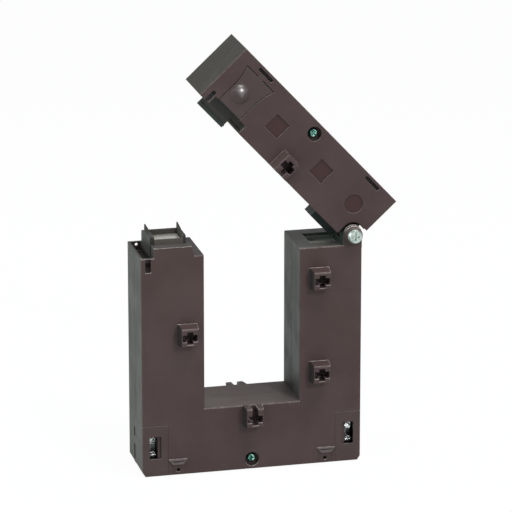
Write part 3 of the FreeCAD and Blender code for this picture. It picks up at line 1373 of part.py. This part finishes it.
os.makedirs("parts", exist_ok=True)
for piece in base_pieces + yoke_pieces:
    if piece.Shape.isNull() or not piece.Shape.isValid():
        raise RuntimeError("%s has no valid shape" % piece.Label)
    print("%-24s %2d solid(s) %10.1f mm3" % (piece.Label, len(piece.Shape.Solids), piece.Shape.Volume))
    piece.Shape.exportStep("parts/%s.step" % piece.Label)
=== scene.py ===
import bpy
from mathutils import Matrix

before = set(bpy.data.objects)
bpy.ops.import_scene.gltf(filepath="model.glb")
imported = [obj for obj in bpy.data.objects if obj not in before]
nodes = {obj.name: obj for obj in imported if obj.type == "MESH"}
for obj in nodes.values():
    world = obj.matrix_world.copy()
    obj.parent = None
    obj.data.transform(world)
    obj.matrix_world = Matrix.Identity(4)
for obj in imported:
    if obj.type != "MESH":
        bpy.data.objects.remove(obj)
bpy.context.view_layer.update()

import math
import bpy
import numpy as np
from mathutils import Matrix, Vector

scene = bpy.context.scene
print("stage: frame loaded,", len(nodes), "nodes")


# small helpers for node trees

def feed(tree, node, inputs):
    # each input named here takes another node's output, or a plain number, vector or colour
    for label, value in inputs.items():
        if isinstance(value, bpy.types.NodeSocket):
            tree.links.new(value, node.inputs[label])
        else:
            node.inputs[label].default_value = value


def addNode(tree, kind, inputs, **settings):
    # the settings come first, because some of them change the inputs; the node's outputs are given back
    node = tree.nodes.new("ShaderNode" + kind)
    for name, setting in settings.items():
        setattr(node, name, setting)
    feed(tree, node, inputs)
    return node.outputs


def newMaterial(name):
    mat = bpy.data.materials.new(name)
    mat.use_nodes = True
    tree = mat.node_tree
    tree.nodes.clear()
    out = tree.nodes.new("ShaderNodeOutputMaterial")
    bsdf = tree.nodes.new("ShaderNodeBsdfPrincipled")
    feed(tree, out, {"Surface": bsdf.outputs["BSDF"]})
    return mat, tree, bsdf


def newGroup(name, inputs, outputs):
    # inputs hold each one's usual value, a number or a vector; outputs say Float or Vector
    group = bpy.data.node_groups.new(name, "ShaderNodeTree")
    for label, usual in inputs.items():
        kind = "NodeSocketVector" if isinstance(usual, tuple) else "NodeSocketFloat"
        socket = group.interface.new_socket(name=label, in_out="INPUT", socket_type=kind)
        socket.default_value = usual
    for label, kind in outputs.items():
        group.interface.new_socket(name=label, in_out="OUTPUT", socket_type="NodeSocket" + kind)
    gin, gout = group.nodes.new("NodeGroupInput"), group.nodes.new("NodeGroupOutput")
    return group, gin.outputs, gout


def placeGroup(tree, group, **inputs):
    return addNode(tree, "Group", inputs, node_tree=group)


def mathNode(tree, operation, first, second=0.0, clamp=False):
    return addNode(tree, "Math", {0: first, 1: second}, operation=operation, use_clamp=clamp)[0]


def blendValues(tree, first, second, share):
    # first * share + second * (1 - share)
    return mathNode(tree, "ADD", mathNode(tree, "MULTIPLY", first, share),
                    mathNode(tree, "MULTIPLY", second, 1.0 - share))


def mapRange(tree, value, low, high, toLow=0.0, toHigh=1.0, kind="SMOOTHSTEP"):
    inputs = {"Value": value, "From Min": low, "From Max": high, "To Min": toLow, "To Max": toHigh}
    return addNode(tree, "MapRange", inputs, interpolation_type=kind)["Result"]


def noiseNode(tree, vector, scale, detail, rough):
    inputs = {"Vector": vector, "Scale": scale, "Detail": detail, "Roughness": rough}
    return addNode(tree, "TexNoise", inputs)["Fac"]


def mixColor(tree, factor, first, second):
    # inputs 6 and 7 of the mix node are its two colours, and output 2 is the mixed one
    first, second = [(*color, 1.0) if isinstance(color, tuple) else color for color in (first, second)]
    return addNode(tree, "Mix", {0: factor, 6: first, 7: second}, data_type="RGBA")[2]


def splitAxes(tree, vector):
    return addNode(tree, "SeparateXYZ", {"Vector": vector})


def objectPlace(tree):
    return addNode(tree, "TexCoord", {})["Object"]


def bumpNormal(tree, height, normal, strength, depth):
    inputs = {"Height": height, "Normal": normal, "Strength": strength, "Distance": depth}
    return addNode(tree, "Bump", inputs)["Normal"]


# shared effects

# broken and least: the noise's range that breaks the wear up, and what it leaves at the lowest
# upward: the range of the softened normal's Z on edges that look up, where the highlight is painted
# outerEdge: the range of |y| in metres at which the outer edges begin
wearAndHighlightShape = dict(samples=6, noise=dict(detail=3.0, rough=0.5), broken=(0.30, 0.62), least=0.35,
                 upward=(0.20, 0.50), outerEdge=(0.0235, 0.0250))


def makeEdgeWearAndHighlight(shape):
    # Mask: how far a softened normal leaves the true one, so it is strong on corners; broken up by noise
    # The highlight output: the same on the outer edges that look up, where a light colour paints a
    # highlight line
    # Normal: the softened normal
    group, gin, gout = newGroup(
        "edgeWearAndHighlight", {"Radius": 0.0004, "Break Up": 220.0, "Low": 0.015, "High": 0.14},
        {"Mask": "Float", "Painted Highlight": "Float", "Normal": "Vector"})
    softened = addNode(group, "Bevel", {"Radius": gin["Radius"]}, samples=shape["samples"])["Normal"]
    surface = addNode(group, "NewGeometry", {})["Normal"]
    alike = addNode(group, "VectorMath", {0: softened, 1: surface}, operation="DOT_PRODUCT")["Value"]
    away = mathNode(group, "SUBTRACT", 1.0, alike)
    spread = mapRange(group, away, gin["Low"], gin["High"], kind="LINEAR")
    place = objectPlace(group)
    noise = noiseNode(group, place, gin["Break Up"], **shape["noise"])
    broken = mapRange(group, noise, *shape["broken"], toLow=shape["least"])
    mask = mathNode(group, "MULTIPLY", spread, broken, clamp=True)
    upward = mapRange(group, splitAxes(group, softened)["Z"], *shape["upward"])
    depth = mathNode(group, "ABSOLUTE", splitAxes(group, place)["Y"])
    outer = mapRange(group, depth, *shape["outerEdge"])
    # painted highlight: the wear mask on outer edges that look up, where a light colour stands in for the
    # top lamp's reflection
    paintedHighlight = mathNode(group, "MULTIPLY", mathNode(group, "MULTIPLY", mask, upward), outer)
    feed(group, gout, {"Mask": mask, "Painted Highlight": paintedHighlight, "Normal": softened})
    return group


crispEdge = 0.0001    # how far an area's edge runs out, in metres, where the area says nothing else


def makeBoxArea():
    # Mask of a box: the largest of |place - centre| - half over the three axes, softened at zero
    middle = (0.0, 0.0, 0.0)
    group, gin, gout = newGroup(
        "boxArea", {"Place": middle, "Centre": middle, "Half": (0.01, 0.01, 0.01), "Soft": crispEdge},
        {"Mask": "Float"})
    away = addNode(group, "VectorMath", {0: gin["Place"], 1: gin["Centre"]}, operation="SUBTRACT")["Vector"]
    away = addNode(group, "VectorMath", {0: away}, operation="ABSOLUTE")["Vector"]
    away = addNode(group, "VectorMath", {0: away, 1: gin["Half"]}, operation="SUBTRACT")["Vector"]
    split = splitAxes(group, away)
    outside = mathNode(group, "MAXIMUM", split["X"], mathNode(group, "MAXIMUM", split["Y"], split["Z"]))
    share = mathNode(group, "DIVIDE", outside, gin["Soft"])
    feed(group, gout, {"Mask": mapRange(group, share, -1.0, 1.0, 1.0, 0.0)})
    return group


# turn: how much of the normal's Y beyond Low makes the mask full
# proud: the range of |y| in metres at which a form stands proud of the front and back faces
sideShape = dict(turn=0.3, proud=(0.0269, 0.0275))


def makeSideMask(shape):
    # Mask of the faces that look forwards or back, by the size of the normal's Y, and of all that
    # stands proud of them; the other faces take a side tone of painted light and shade
    group, gin, gout = newGroup("sideMask", {"Low": 0.45}, {"Mask": "Float"})
    normal = addNode(group, "NewGeometry", {})["True Normal"]
    facing = mathNode(group, "ABSOLUTE", splitAxes(group, normal)["Y"])
    above = mapRange(group, mathNode(group, "SUBTRACT", facing, gin["Low"]), 0.0, shape["turn"])
    depth = mathNode(group, "ABSOLUTE", splitAxes(group, objectPlace(group))["Y"])
    proud = mapRange(group, depth, *shape["proud"])
    feed(group, gout, {"Mask": mathNode(group, "MAXIMUM", above, proud)})
    return group


grainShape = dict(fine=dict(detail=2.0, rough=0.5), coarse=dict(scale=420.0, detail=2.0, rough=0.55),
                  cloud=dict(detail=4.0, rough=0.6), fineShare=0.7, tone=(0.32, 0.68))


def makeMouldGrain(shape):
    # Height: two sizes of fine noise like a spark-eroded mould; Tone: slow cloudy variation
    group, gin, gout = newGroup(
        "mouldGrain", {"Grain Scale": 2200.0, "Cloud Scale": 26.0}, {"Height": "Float", "Tone": "Float"})
    place = objectPlace(group)
    fine = noiseNode(group, place, gin["Grain Scale"], **shape["fine"])
    coarse = noiseNode(group, place, **shape["coarse"])
    cloud = noiseNode(group, place, gin["Cloud Scale"], **shape["cloud"])
    feed(group, gout, {"Height": blendValues(group, fine, coarse, shape["fineShare"]),
                       "Tone": mapRange(group, cloud, *shape["tone"])})
    return group


brushShape = dict(lines=dict(scale=1.0, detail=3.0, rough=0.6),
                  blotch=dict(scale=240.0, detail=3.0, rough=0.55), lineShare=0.6)


def makeBrushMarks(shape):
    # Height of fine lines: noise squeezed along each axis by its own measure; Tone: the lines with blotches
    group, gin, gout = newGroup(
        "brushMarks", {"Stretch": (60.0, 1400.0, 1400.0), "Low": 0.35, "High": 0.65},
        {"Height": "Float", "Tone": "Float"})
    place = objectPlace(group)
    squeezed = addNode(group, "Mapping", {"Vector": place, "Scale": gin["Stretch"]})["Vector"]
    lines = noiseNode(group, squeezed, **shape["lines"])
    blotch = noiseNode(group, place, **shape["blotch"])
    tone = blendValues(group, lines, blotch, shape["lineShare"])
    feed(group, gout, {"Height": lines, "Tone": mapRange(group, tone, gin["Low"], gin["High"])})
    return group


edgeWearAndHighlight = makeEdgeWearAndHighlight(wearAndHighlightShape)
boxArea = makeBoxArea()
sideMask = makeSideMask(sideShape)
mouldGrain = makeMouldGrain(grainShape)
brushMarks = makeBrushMarks(brushShape)
print("stage: effects built")


# plastics

# the bar stands open, by an angle in degrees, about a line along Y through this place
barHinge = dict(place=(0.0842, 0.0, 0.1958), openAngle=47.1)

# the full shares of the worn colour and of the painted edge highlight, and the grain's depth in metres
plasticWearAndHighlight = dict(worn=0.40, paintedEdgeHighlight=0.75, depth=0.0002)

# the thumb dome is glossy on its upper side only
domeTop = dict(centre=(-0.0722, -0.0310, 0.2142), half=(0.0040, 0.0030, 0.0040), soft=0.0026)
domeGloss = dict(**domeTop, coat=1.0, elsewhere=0.04, rough=0.30, ior=2.2)

# color and light: the two tones of the clouds; side: painted light and shade on the faces that look neither
# forwards nor back
# worn: the corners; the painted highlight: the outer edges that look up; rough: the least and the most
# radius: of the softened edges, in metres; sheen: the specular level
plasticLooks = {
    "housingPlastic": dict(
        color=(0.049, 0.0305, 0.0300), light=(0.058, 0.0375, 0.0370), side=(0.0445, 0.0400, 0.0378),
        paintedEdgeHighlight=(0.62, 0.58, 0.55), worn=(0.095, 0.080, 0.077),
        rough=(0.46, 0.58), grain=0.10, radius=0.0009, sheen=0.17),
    "barPlastic": dict(
        color=(0.046, 0.0285, 0.0285), light=(0.055, 0.0355, 0.0355), side=(0.031, 0.0260, 0.0225),
        paintedEdgeHighlight=(0.26, 0.24, 0.23), worn=(0.090, 0.076, 0.073),
        rough=(0.46, 0.58), grain=0.10, radius=0.0009, sheen=0.17, turnsOpen=True),
    "coverPlastic": dict(
        color=(0.048, 0.0305, 0.0300), light=(0.056, 0.0370, 0.0365), side=(0.035, 0.0310, 0.0295),
        paintedEdgeHighlight=(0.34, 0.32, 0.31), worn=(0.075, 0.062, 0.060),
        rough=(0.40, 0.50), grain=0.10, radius=0.0005, sheen=0.17),
    "latchPlastic": dict(
        color=(0.044, 0.0290, 0.0285), light=(0.052, 0.0360, 0.0355), side=(0.028, 0.029, 0.026),
        paintedEdgeHighlight=(0.12, 0.105, 0.10), worn=(0.085, 0.075, 0.072),
        rough=(0.36, 0.46), grain=0.08, radius=0.0005, sheen=0.17, turnsOpen=True, gloss=domeGloss),
    "bobbinPlastic": dict(
        color=(0.55, 0.52, 0.44), light=(0.64, 0.61, 0.53), side=(0.58, 0.55, 0.47),
        paintedEdgeHighlight=(0.76, 0.74, 0.68), worn=(0.72, 0.70, 0.64),
        rough=(0.45, 0.55), grain=0.06, radius=0.0003, sheen=0.5),
}

# what the areas that come more than once share
# lug: painted light, the proud foot lugs painted lighter
lug = dict(tone=(0.100, 0.078, 0.080), half=(0.0090, 0.0012, 0.0030))
# squareField and roundField: painted shade, the sunk fields painted darker
squareField = dict(tone=(0.040, 0.020, 0.020), half=(0.0074, 0.0010, 0.0074))
roundField = dict(tone=squareField["tone"], half=(0.0080, 0.0010, 0.0080))
# topSlot: painted shade, the slots painted near black
topSlot = dict(tone=(0.006, 0.005, 0.005), half=(0.0080, 0.0030, 0.0016))

# areas with a tone of their own, most of them painted light or shade: centre and half size in metres, in
# the shut place for bar and latch
plasticAreas = {
    "housingPlastic": {
        # painted light: the right leg's top is painted lighter than the plastic
        "rightLegTop": dict(
            tone=(0.056, 0.054, 0.049), centre=(0.0660, 0.0, 0.1866), half=(0.0257, 0.0255, 0.0005)),
        # painted light: the foot pocket, which lies in shade, is painted much lighter
        "footPocket": dict(
            tone=(0.110, 0.118, 0.108), centre=(0.0655, 0.0, 0.1840), half=(0.0145, 0.0136, 0.0030)),
        # painted shade: the pocket's back wall is painted dark
        "pocketBackWall": dict(
            tone=(0.014, 0.026, 0.022), centre=(0.0655, 0.0128, 0.1858), half=(0.0145, 0.0010, 0.0012),
            soft=0.0004),
        # painted shadow: the ear's inner side, in the bar's shadow, is painted dark
        "earInside": dict(
            tone=(0.014, 0.021, 0.018), centre=(0.0764, 0.0, 0.1935), half=(0.0004, 0.0262, 0.0080)),
        # painted shade: the pocket's right wall is painted dark
        "pocketRightWall": dict(
            tone=(0.014, 0.021, 0.018), centre=(0.0791, 0.0, 0.1845), half=(0.0006, 0.0140, 0.0040)),
        # painted light: the sill's top is painted lighter
        "sill": dict(
            tone=(0.078, 0.062, 0.058), centre=(0.0000, 0.0, 0.0555), half=(0.0400, 0.0255, 0.0005)),
        # painted shade: the collar is painted dark olive
        "collar": dict(
            tone=(0.030, 0.0280, 0.0245), centre=(-0.0655, 0.0, 0.1985), half=(0.0185, 0.0164, 0.0116)),
        # painted light: the collar's front wall is painted lighter
        "collarFrontWall": dict(
            tone=(0.080, 0.070, 0.063), centre=(-0.0655, -0.0102, 0.1950), half=(0.0118, 0.0009, 0.0065)),
        # painted light on the foot lugs
        "leftLug": dict(**lug, centre=(-0.0627, -0.0284, 0.0114)),
        "rightLug": dict(**lug, centre=(0.0627, -0.0284, 0.0114)),
    },
    "barPlastic": {
        # painted shade: the bar's foot, in shadow, is painted dark
        "foot": dict(
            tone=(0.014, 0.019, 0.017), centre=(0.0655, 0.0, 0.1842), half=(0.0145, 0.0140, 0.0032)),
        # painted shade: the bar's round by the hinge is painted dark
        "hingeRound": dict(
            tone=(0.010, 0.015, 0.013), centre=(0.0790, 0.0, 0.1890), half=(0.0060, 0.0245, 0.0060)),
        # painted shade in the three sunk fields
        "leftField": dict(**squareField, centre=(-0.0281, -0.0255, 0.2135)),
        "middleField": dict(**squareField, centre=(0.0259, -0.0255, 0.2135)),
        "rightField": dict(**roundField, centre=(0.0660, -0.0255, 0.2135)),
        # painted shade in the two top slots
        "leftSlot": dict(**topSlot, centre=(-0.0660, -0.0235, 0.2359)),
        "rightSlot": dict(**topSlot, centre=(0.0645, -0.0235, 0.2359)),
    },
    "latchPlastic": {
        # painted shade: the hook below the panel is painted dark
        "hook": dict(
            tone=(0.016, 0.022, 0.019), centre=(-0.0670, -0.0200, 0.1780), half=(0.0250, 0.0200, 0.0080)),
        # painted shadow: the hook plate's front, under the panel, is painted dark
        "hookPlateFront": dict(
            tone=(0.028, 0.0250, 0.0240), centre=(-0.0670, -0.0145, 0.1908), half=(0.0190, 0.0012, 0.0062),
            soft=0.0006),
        # the dome's top: a darker base under its glossy coat
        "domeTop": dict(tone=(0.022, 0.010, 0.009), **domeTop),
    },
}

# the left flank of each socket, front and back, painted in shade: x and z of the sockets' middles, and how
# far the flank is left of them and out from the object's middle plane
socketFlank = dict(tone=(0.019, 0.0150, 0.0150), half=(0.0011, 0.0059, 0.0092), left=0.0079, out=0.0328,
                   sockets=[(-0.0542, 0.1205), (0.0562, 0.1605), (0.0562, 0.0805), (0.0, 0.0468)])
for number, (x, z) in enumerate(socketFlank["sockets"]):
    for side, y in (("Front", -socketFlank["out"]), ("Back", socketFlank["out"])):
        # painted shade on each socket's left flank
        plasticAreas["housingPlastic"][f"socketFlank{side}{number}"] = dict(
            tone=socketFlank["tone"], centre=(x - socketFlank["left"], y, z), half=socketFlank["half"])


def shutPlace(tree, turnsOpen):
    # Object coordinates; for the bar and the latch they are turned back about the hinge to the shut place
    place = objectPlace(tree)
    if not turnsOpen:
        return place
    angle = -math.radians(barHinge["openAngle"])
    hinge = Vector(barHinge["place"])
    shift = hinge - Matrix.Rotation(angle, 3, "Y") @ hinge
    turned = {"Vector": place, "Rotation": (0.0, angle, 0.0), "Location": shift}
    return addNode(tree, "Mapping", turned)["Vector"]


def areaMask(tree, place, area):
    box = dict(Centre=area["centre"], Half=area["half"], Soft=area.get("soft", crispEdge))
    return placeGroup(tree, boxArea, Place=place, **box)["Mask"]


def plastic(name, look):
    mat, tree, bsdf = newMaterial(name)
    grain = placeGroup(tree, mouldGrain)
    wear = placeGroup(tree, edgeWearAndHighlight, Radius=look["radius"])
    front = placeGroup(tree, sideMask)["Mask"]
    place = shutPlace(tree, look.get("turnsOpen", False))
    worn = mathNode(tree, "MULTIPLY", wear["Mask"], plasticWearAndHighlight["worn"])
    # a highlight painted on the outer edges that look up
    paintedEdgeHighlight = mathNode(tree, "MULTIPLY", wear["Painted Highlight"], plasticWearAndHighlight["paintedEdgeHighlight"])
    body = mixColor(tree, grain["Tone"], look["color"], look["light"])
    # painted light and shade: the faces that look neither forwards nor back take the side tone, by how
    # light falls on them
    body = mixColor(tree, front, look["side"], body)
    body = mixColor(tree, worn, body, look["worn"])
    body = mixColor(tree, paintedEdgeHighlight, body, look["paintedEdgeHighlight"])
    for area in plasticAreas.get(name, {}).values():
        body = mixColor(tree, areaMask(tree, place, area), body, area["tone"])
    smooth, rough = look["rough"]
    feed(tree, bsdf, {
        "Base Color": body, "Specular IOR Level": look["sheen"],
        "Roughness": mapRange(tree, grain["Tone"], 0.0, 1.0, rough, smooth),
        "Normal": bumpNormal(tree, grain["Height"], wear["Normal"], look["grain"], plasticWearAndHighlight["depth"])})
    gloss = look.get("gloss")
    if gloss:
        coat = mapRange(tree, areaMask(tree, place, gloss), 0.0, 1.0, gloss["elsewhere"], gloss["coat"])
        feed(tree, bsdf, {"Coat Weight": coat, "Coat Roughness": gloss["rough"], "Coat IOR": gloss["ior"]})
    return mat


# metals

# the full share of the worn colour, and the marks' depth in metres
metalWear = dict(worn=0.6, depth=0.0001)
evenMarks = (900.0, 900.0, 900.0)

# color and light: the marks' two tones; contrast: the range of the marks that leads from one to the other
# stretch: how far the marks' noise is squeezed along each axis; bump: the marks' strength
metalLooks = {
    "coreSteel": dict(
        color=(0.58, 0.56, 0.50), light=(0.94, 0.92, 0.86), worn=(0.88, 0.86, 0.80), rough=(0.34, 0.50),
        stretch=(60.0, 950.0, 60.0), bump=0.25, radius=0.0003, contrast=(0.42, 0.58)),
    "hingeZinc": dict(
        color=(0.32, 0.38, 0.355), light=(0.54, 0.60, 0.565), worn=(0.60, 0.66, 0.62), rough=(0.38, 0.52),
        stretch=evenMarks, bump=0.20, radius=0.0002, contrast=(0.40, 0.60)),
    "recessZinc": dict(
        color=(0.006, 0.085, 0.070), light=(0.40, 0.70, 0.60), worn=(0.34, 0.58, 0.50), rough=(0.20, 0.34),
        stretch=evenMarks, bump=0.30, radius=0.0002, contrast=(0.44, 0.58)),
    # painted shade and glints: the terminal screws are near black like their deep windows' shade, with
    # bright marks painted as glints
    "terminalZinc": dict(
        color=(0.03, 0.03, 0.03), light=(0.80, 0.82, 0.82), worn=(0.72, 0.74, 0.74), rough=(0.18, 0.34),
        stretch=evenMarks, bump=0.30, radius=0.0002, contrast=(0.45, 0.60)),
    # painted shade: the clamps are dark like the shade in the deep terminal windows
    "clampMetal": dict(
        color=(0.07, 0.07, 0.068), light=(0.26, 0.26, 0.25), worn=(0.52, 0.52, 0.50), rough=(0.28, 0.40),
        stretch=(700.0, 320.0, 700.0), bump=0.20, radius=0.0003, contrast=(0.35, 0.65)),
    "springSteel": dict(
        color=(0.30, 0.30, 0.30), light=(0.46, 0.46, 0.45), worn=(0.62, 0.62, 0.60), rough=(0.25, 0.36),
        stretch=(120.0, 1600.0, 1600.0), bump=0.10, radius=0.0001, contrast=(0.35, 0.65)),
    "windingCopper": dict(
        color=(0.36, 0.13, 0.05), light=(0.52, 0.22, 0.10), worn=(0.62, 0.32, 0.18), rough=(0.24, 0.36),
        stretch=(30.0, 30.0, 2600.0), bump=0.5, radius=0.0003, contrast=(0.35, 0.65)),
}


def metal(name, look):
    mat, tree, bsdf = newMaterial(name)
    low, high = look["contrast"]
    marks = placeGroup(tree, brushMarks, Stretch=look["stretch"], Low=low, High=high)
    wear = placeGroup(tree, edgeWearAndHighlight, Radius=look["radius"])
    worn = mathNode(tree, "MULTIPLY", wear["Mask"], metalWear["worn"])
    body = mixColor(tree, marks["Tone"], look["color"], look["light"])
    smooth, rough = look["rough"]
    feed(tree, bsdf, {
        "Base Color": mixColor(tree, worn, body, look["worn"]), "Metallic": 1.0,
        "Roughness": mapRange(tree, marks["Tone"], 0.0, 1.0, rough, smooth),
        "Normal": bumpNormal(tree, marks["Height"], wear["Normal"], look["bump"], metalWear["depth"])})
    return mat


finishes = {name: plastic(name, look) for name, look in plasticLooks.items()}
finishes.update({name: metal(name, look) for name, look in metalLooks.items()})

finishedNodes = {
    "housingPlastic": ["base_front_shell", "base_back_shell"],
    "barPlastic": ["yoke_front_shell", "yoke_back_shell"],
    "coverPlastic": ["left_terminal_cover", "right_terminal_cover"],
    "latchPlastic": ["latch_tongue"],
    "bobbinPlastic": ["left_bobbin", "right_bobbin"],
    "coreSteel": ["u_core", "yoke_core"],
    "hingeZinc": ["hinge_screw", "hinge_nut"],
    "recessZinc": ["base_screw", "yoke_screw"],
    "terminalZinc": ["left_terminal_screws", "right_terminal_screws"],
    "clampMetal": ["left_terminal_clamp", "right_terminal_clamp"],
    "springSteel": ["core_leaf_springs"],
    "windingCopper": ["left_winding", "right_winding", "left_lead", "right_lead", "series_lead"],
}
for finish, nodeNames in finishedNodes.items():
    for nodeName in nodeNames:
        for slot in nodes[nodeName].material_slots:
            slot.material = finishes[finish]
print("stage: finishes placed")


# camera, from the photograph's perspective: angles in degrees, lens and sensor in millimetres

cameraView = dict(azimuth=13.63, pitch=16.87, distance=2.9467, target=(0.00324, -0.02675, 0.18282),
                  lens=255.8, sensor=36.0, farthest=50.0)


def aimed(place, ahead):
    # where a camera or lamp stands and how it is turned when it looks ahead with its top up
    return Matrix.Translation(place) @ ahead.to_track_quat("-Z", "Y").to_matrix().to_4x4()


def placeCamera(view):
    a, e = math.radians(view["azimuth"]), math.radians(view["pitch"])
    ahead = Vector((math.sin(a) * math.cos(e), math.cos(a) * math.cos(e), -math.sin(e)))
    data = bpy.data.cameras.new("camera")
    data.sensor_width = view["sensor"]
    data.lens = view["lens"]
    data.clip_end = view["farthest"]
    camera = bpy.data.objects.new("camera", data)
    scene.collection.objects.link(camera)
    camera.matrix_world = aimed(Vector(view["target"]) - ahead * view["distance"], ahead)
    scene.camera = camera


placeCamera(cameraView)
print("stage: camera placed")


# floor, world and lamps

# seen and mirrored: the shares of plain white that the camera's own rays meet, and those off metal or
# through glass
floorLook = dict(reach=6.0, level=-0.0005, color=(0.62, 0.69, 0.66, 1.0), rough=0.9,
                 seen=0.95, mirrored=0.30)
worldLook = dict(color=(0.95, 0.97, 1.0, 1.0), strength=0.55, seen=1.0, mirrored=0.30)


def whiteShare(tree, look):
    path = addNode(tree, "LightPath", {})
    mirrored = mathNode(tree, "MAXIMUM", path["Is Glossy Ray"], path["Is Transmission Ray"])
    return mathNode(tree, "MAXIMUM", mathNode(tree, "MULTIPLY", path["Is Camera Ray"], look["seen"]),
                    mathNode(tree, "MULTIPLY", mirrored, look["mirrored"]))


def placeFloor(look):
    # a level square: x and y run over a grid of three by three points, and z is one level
    steps = np.linspace(-look["reach"], look["reach"], 3)
    x, y = np.meshgrid(steps, steps)
    points = np.stack([x.ravel(), y.ravel(), np.full(x.size, look["level"])], axis=1)
    faces = [(r * 3 + c, r * 3 + c + 1, r * 3 + c + 4, r * 3 + c + 3) for r in range(2) for c in range(2)]
    mesh = bpy.data.meshes.new("studioFloor")
    mesh.from_pydata(points.tolist(), [], faces)
    floor = bpy.data.objects.new("studioFloor", mesh)
    scene.collection.objects.link(floor)
    mat, tree, bsdf = newMaterial("paleFloor")
    feed(tree, bsdf, {"Base Color": look["color"], "Roughness": look["rough"]})
    glow = addNode(tree, "Emission", {"Strength": 1.0})["Emission"]
    shaders = {0: whiteShare(tree, look), 1: bsdf.outputs["BSDF"], 2: glow}
    feed(tree, tree.nodes["Material Output"], {"Surface": addNode(tree, "MixShader", shaders)["Shader"]})
    mesh.materials.append(mat)


def placeWorld(look):
    world = bpy.data.worlds.new("studio")
    world.use_nodes = True
    scene.world = world
    tree = world.node_tree
    tree.nodes.clear()
    out = tree.nodes.new("ShaderNodeOutputWorld")
    soft = addNode(tree, "Background", {"Color": look["color"], "Strength": look["strength"]})["Background"]
    white = addNode(tree, "Background", {"Color": (1.0, 1.0, 1.0, 1.0), "Strength": 1.0})["Background"]
    shaders = {0: whiteShare(tree, look), 1: soft, 2: white}
    feed(tree, out, {"Surface": addNode(tree, "MixShader", shaders)["Shader"]})


lampAim = (0.0, 0.0, 0.17)
lamps = {
    "keyLeft": dict(place=(-2.6, -0.3, 1.1), size=(1.4, 1.8), watts=60.0, color=(0.85, 1.0, 0.94)),
    "topSoft": dict(place=(0.4, -0.5, 1.9), size=(1.1, 0.9), watts=27.0, color=(1.0, 1.0, 0.98)),
    "frontFill": dict(place=(0.75, -2.0, 1.30), size=(0.42, 0.42), watts=23.0, color=(1.0, 0.965, 0.955)),
}


def placeLamps():
    for name, lamp in lamps.items():
        data = bpy.data.lights.new(name, "AREA")
        data.shape = "RECTANGLE"
        data.size, data.size_y = lamp["size"]
        data.energy = lamp["watts"]
        data.color = lamp["color"]
        light = bpy.data.objects.new(name, data)
        scene.collection.objects.link(light)
        place = Vector(lamp["place"])
        light.matrix_world = aimed(place, Vector(lampAim) - place)


placeFloor(floorLook)
placeWorld(worldLook)
placeLamps()
scene.view_settings.view_transform = "Standard"
print("stage: studio ready")
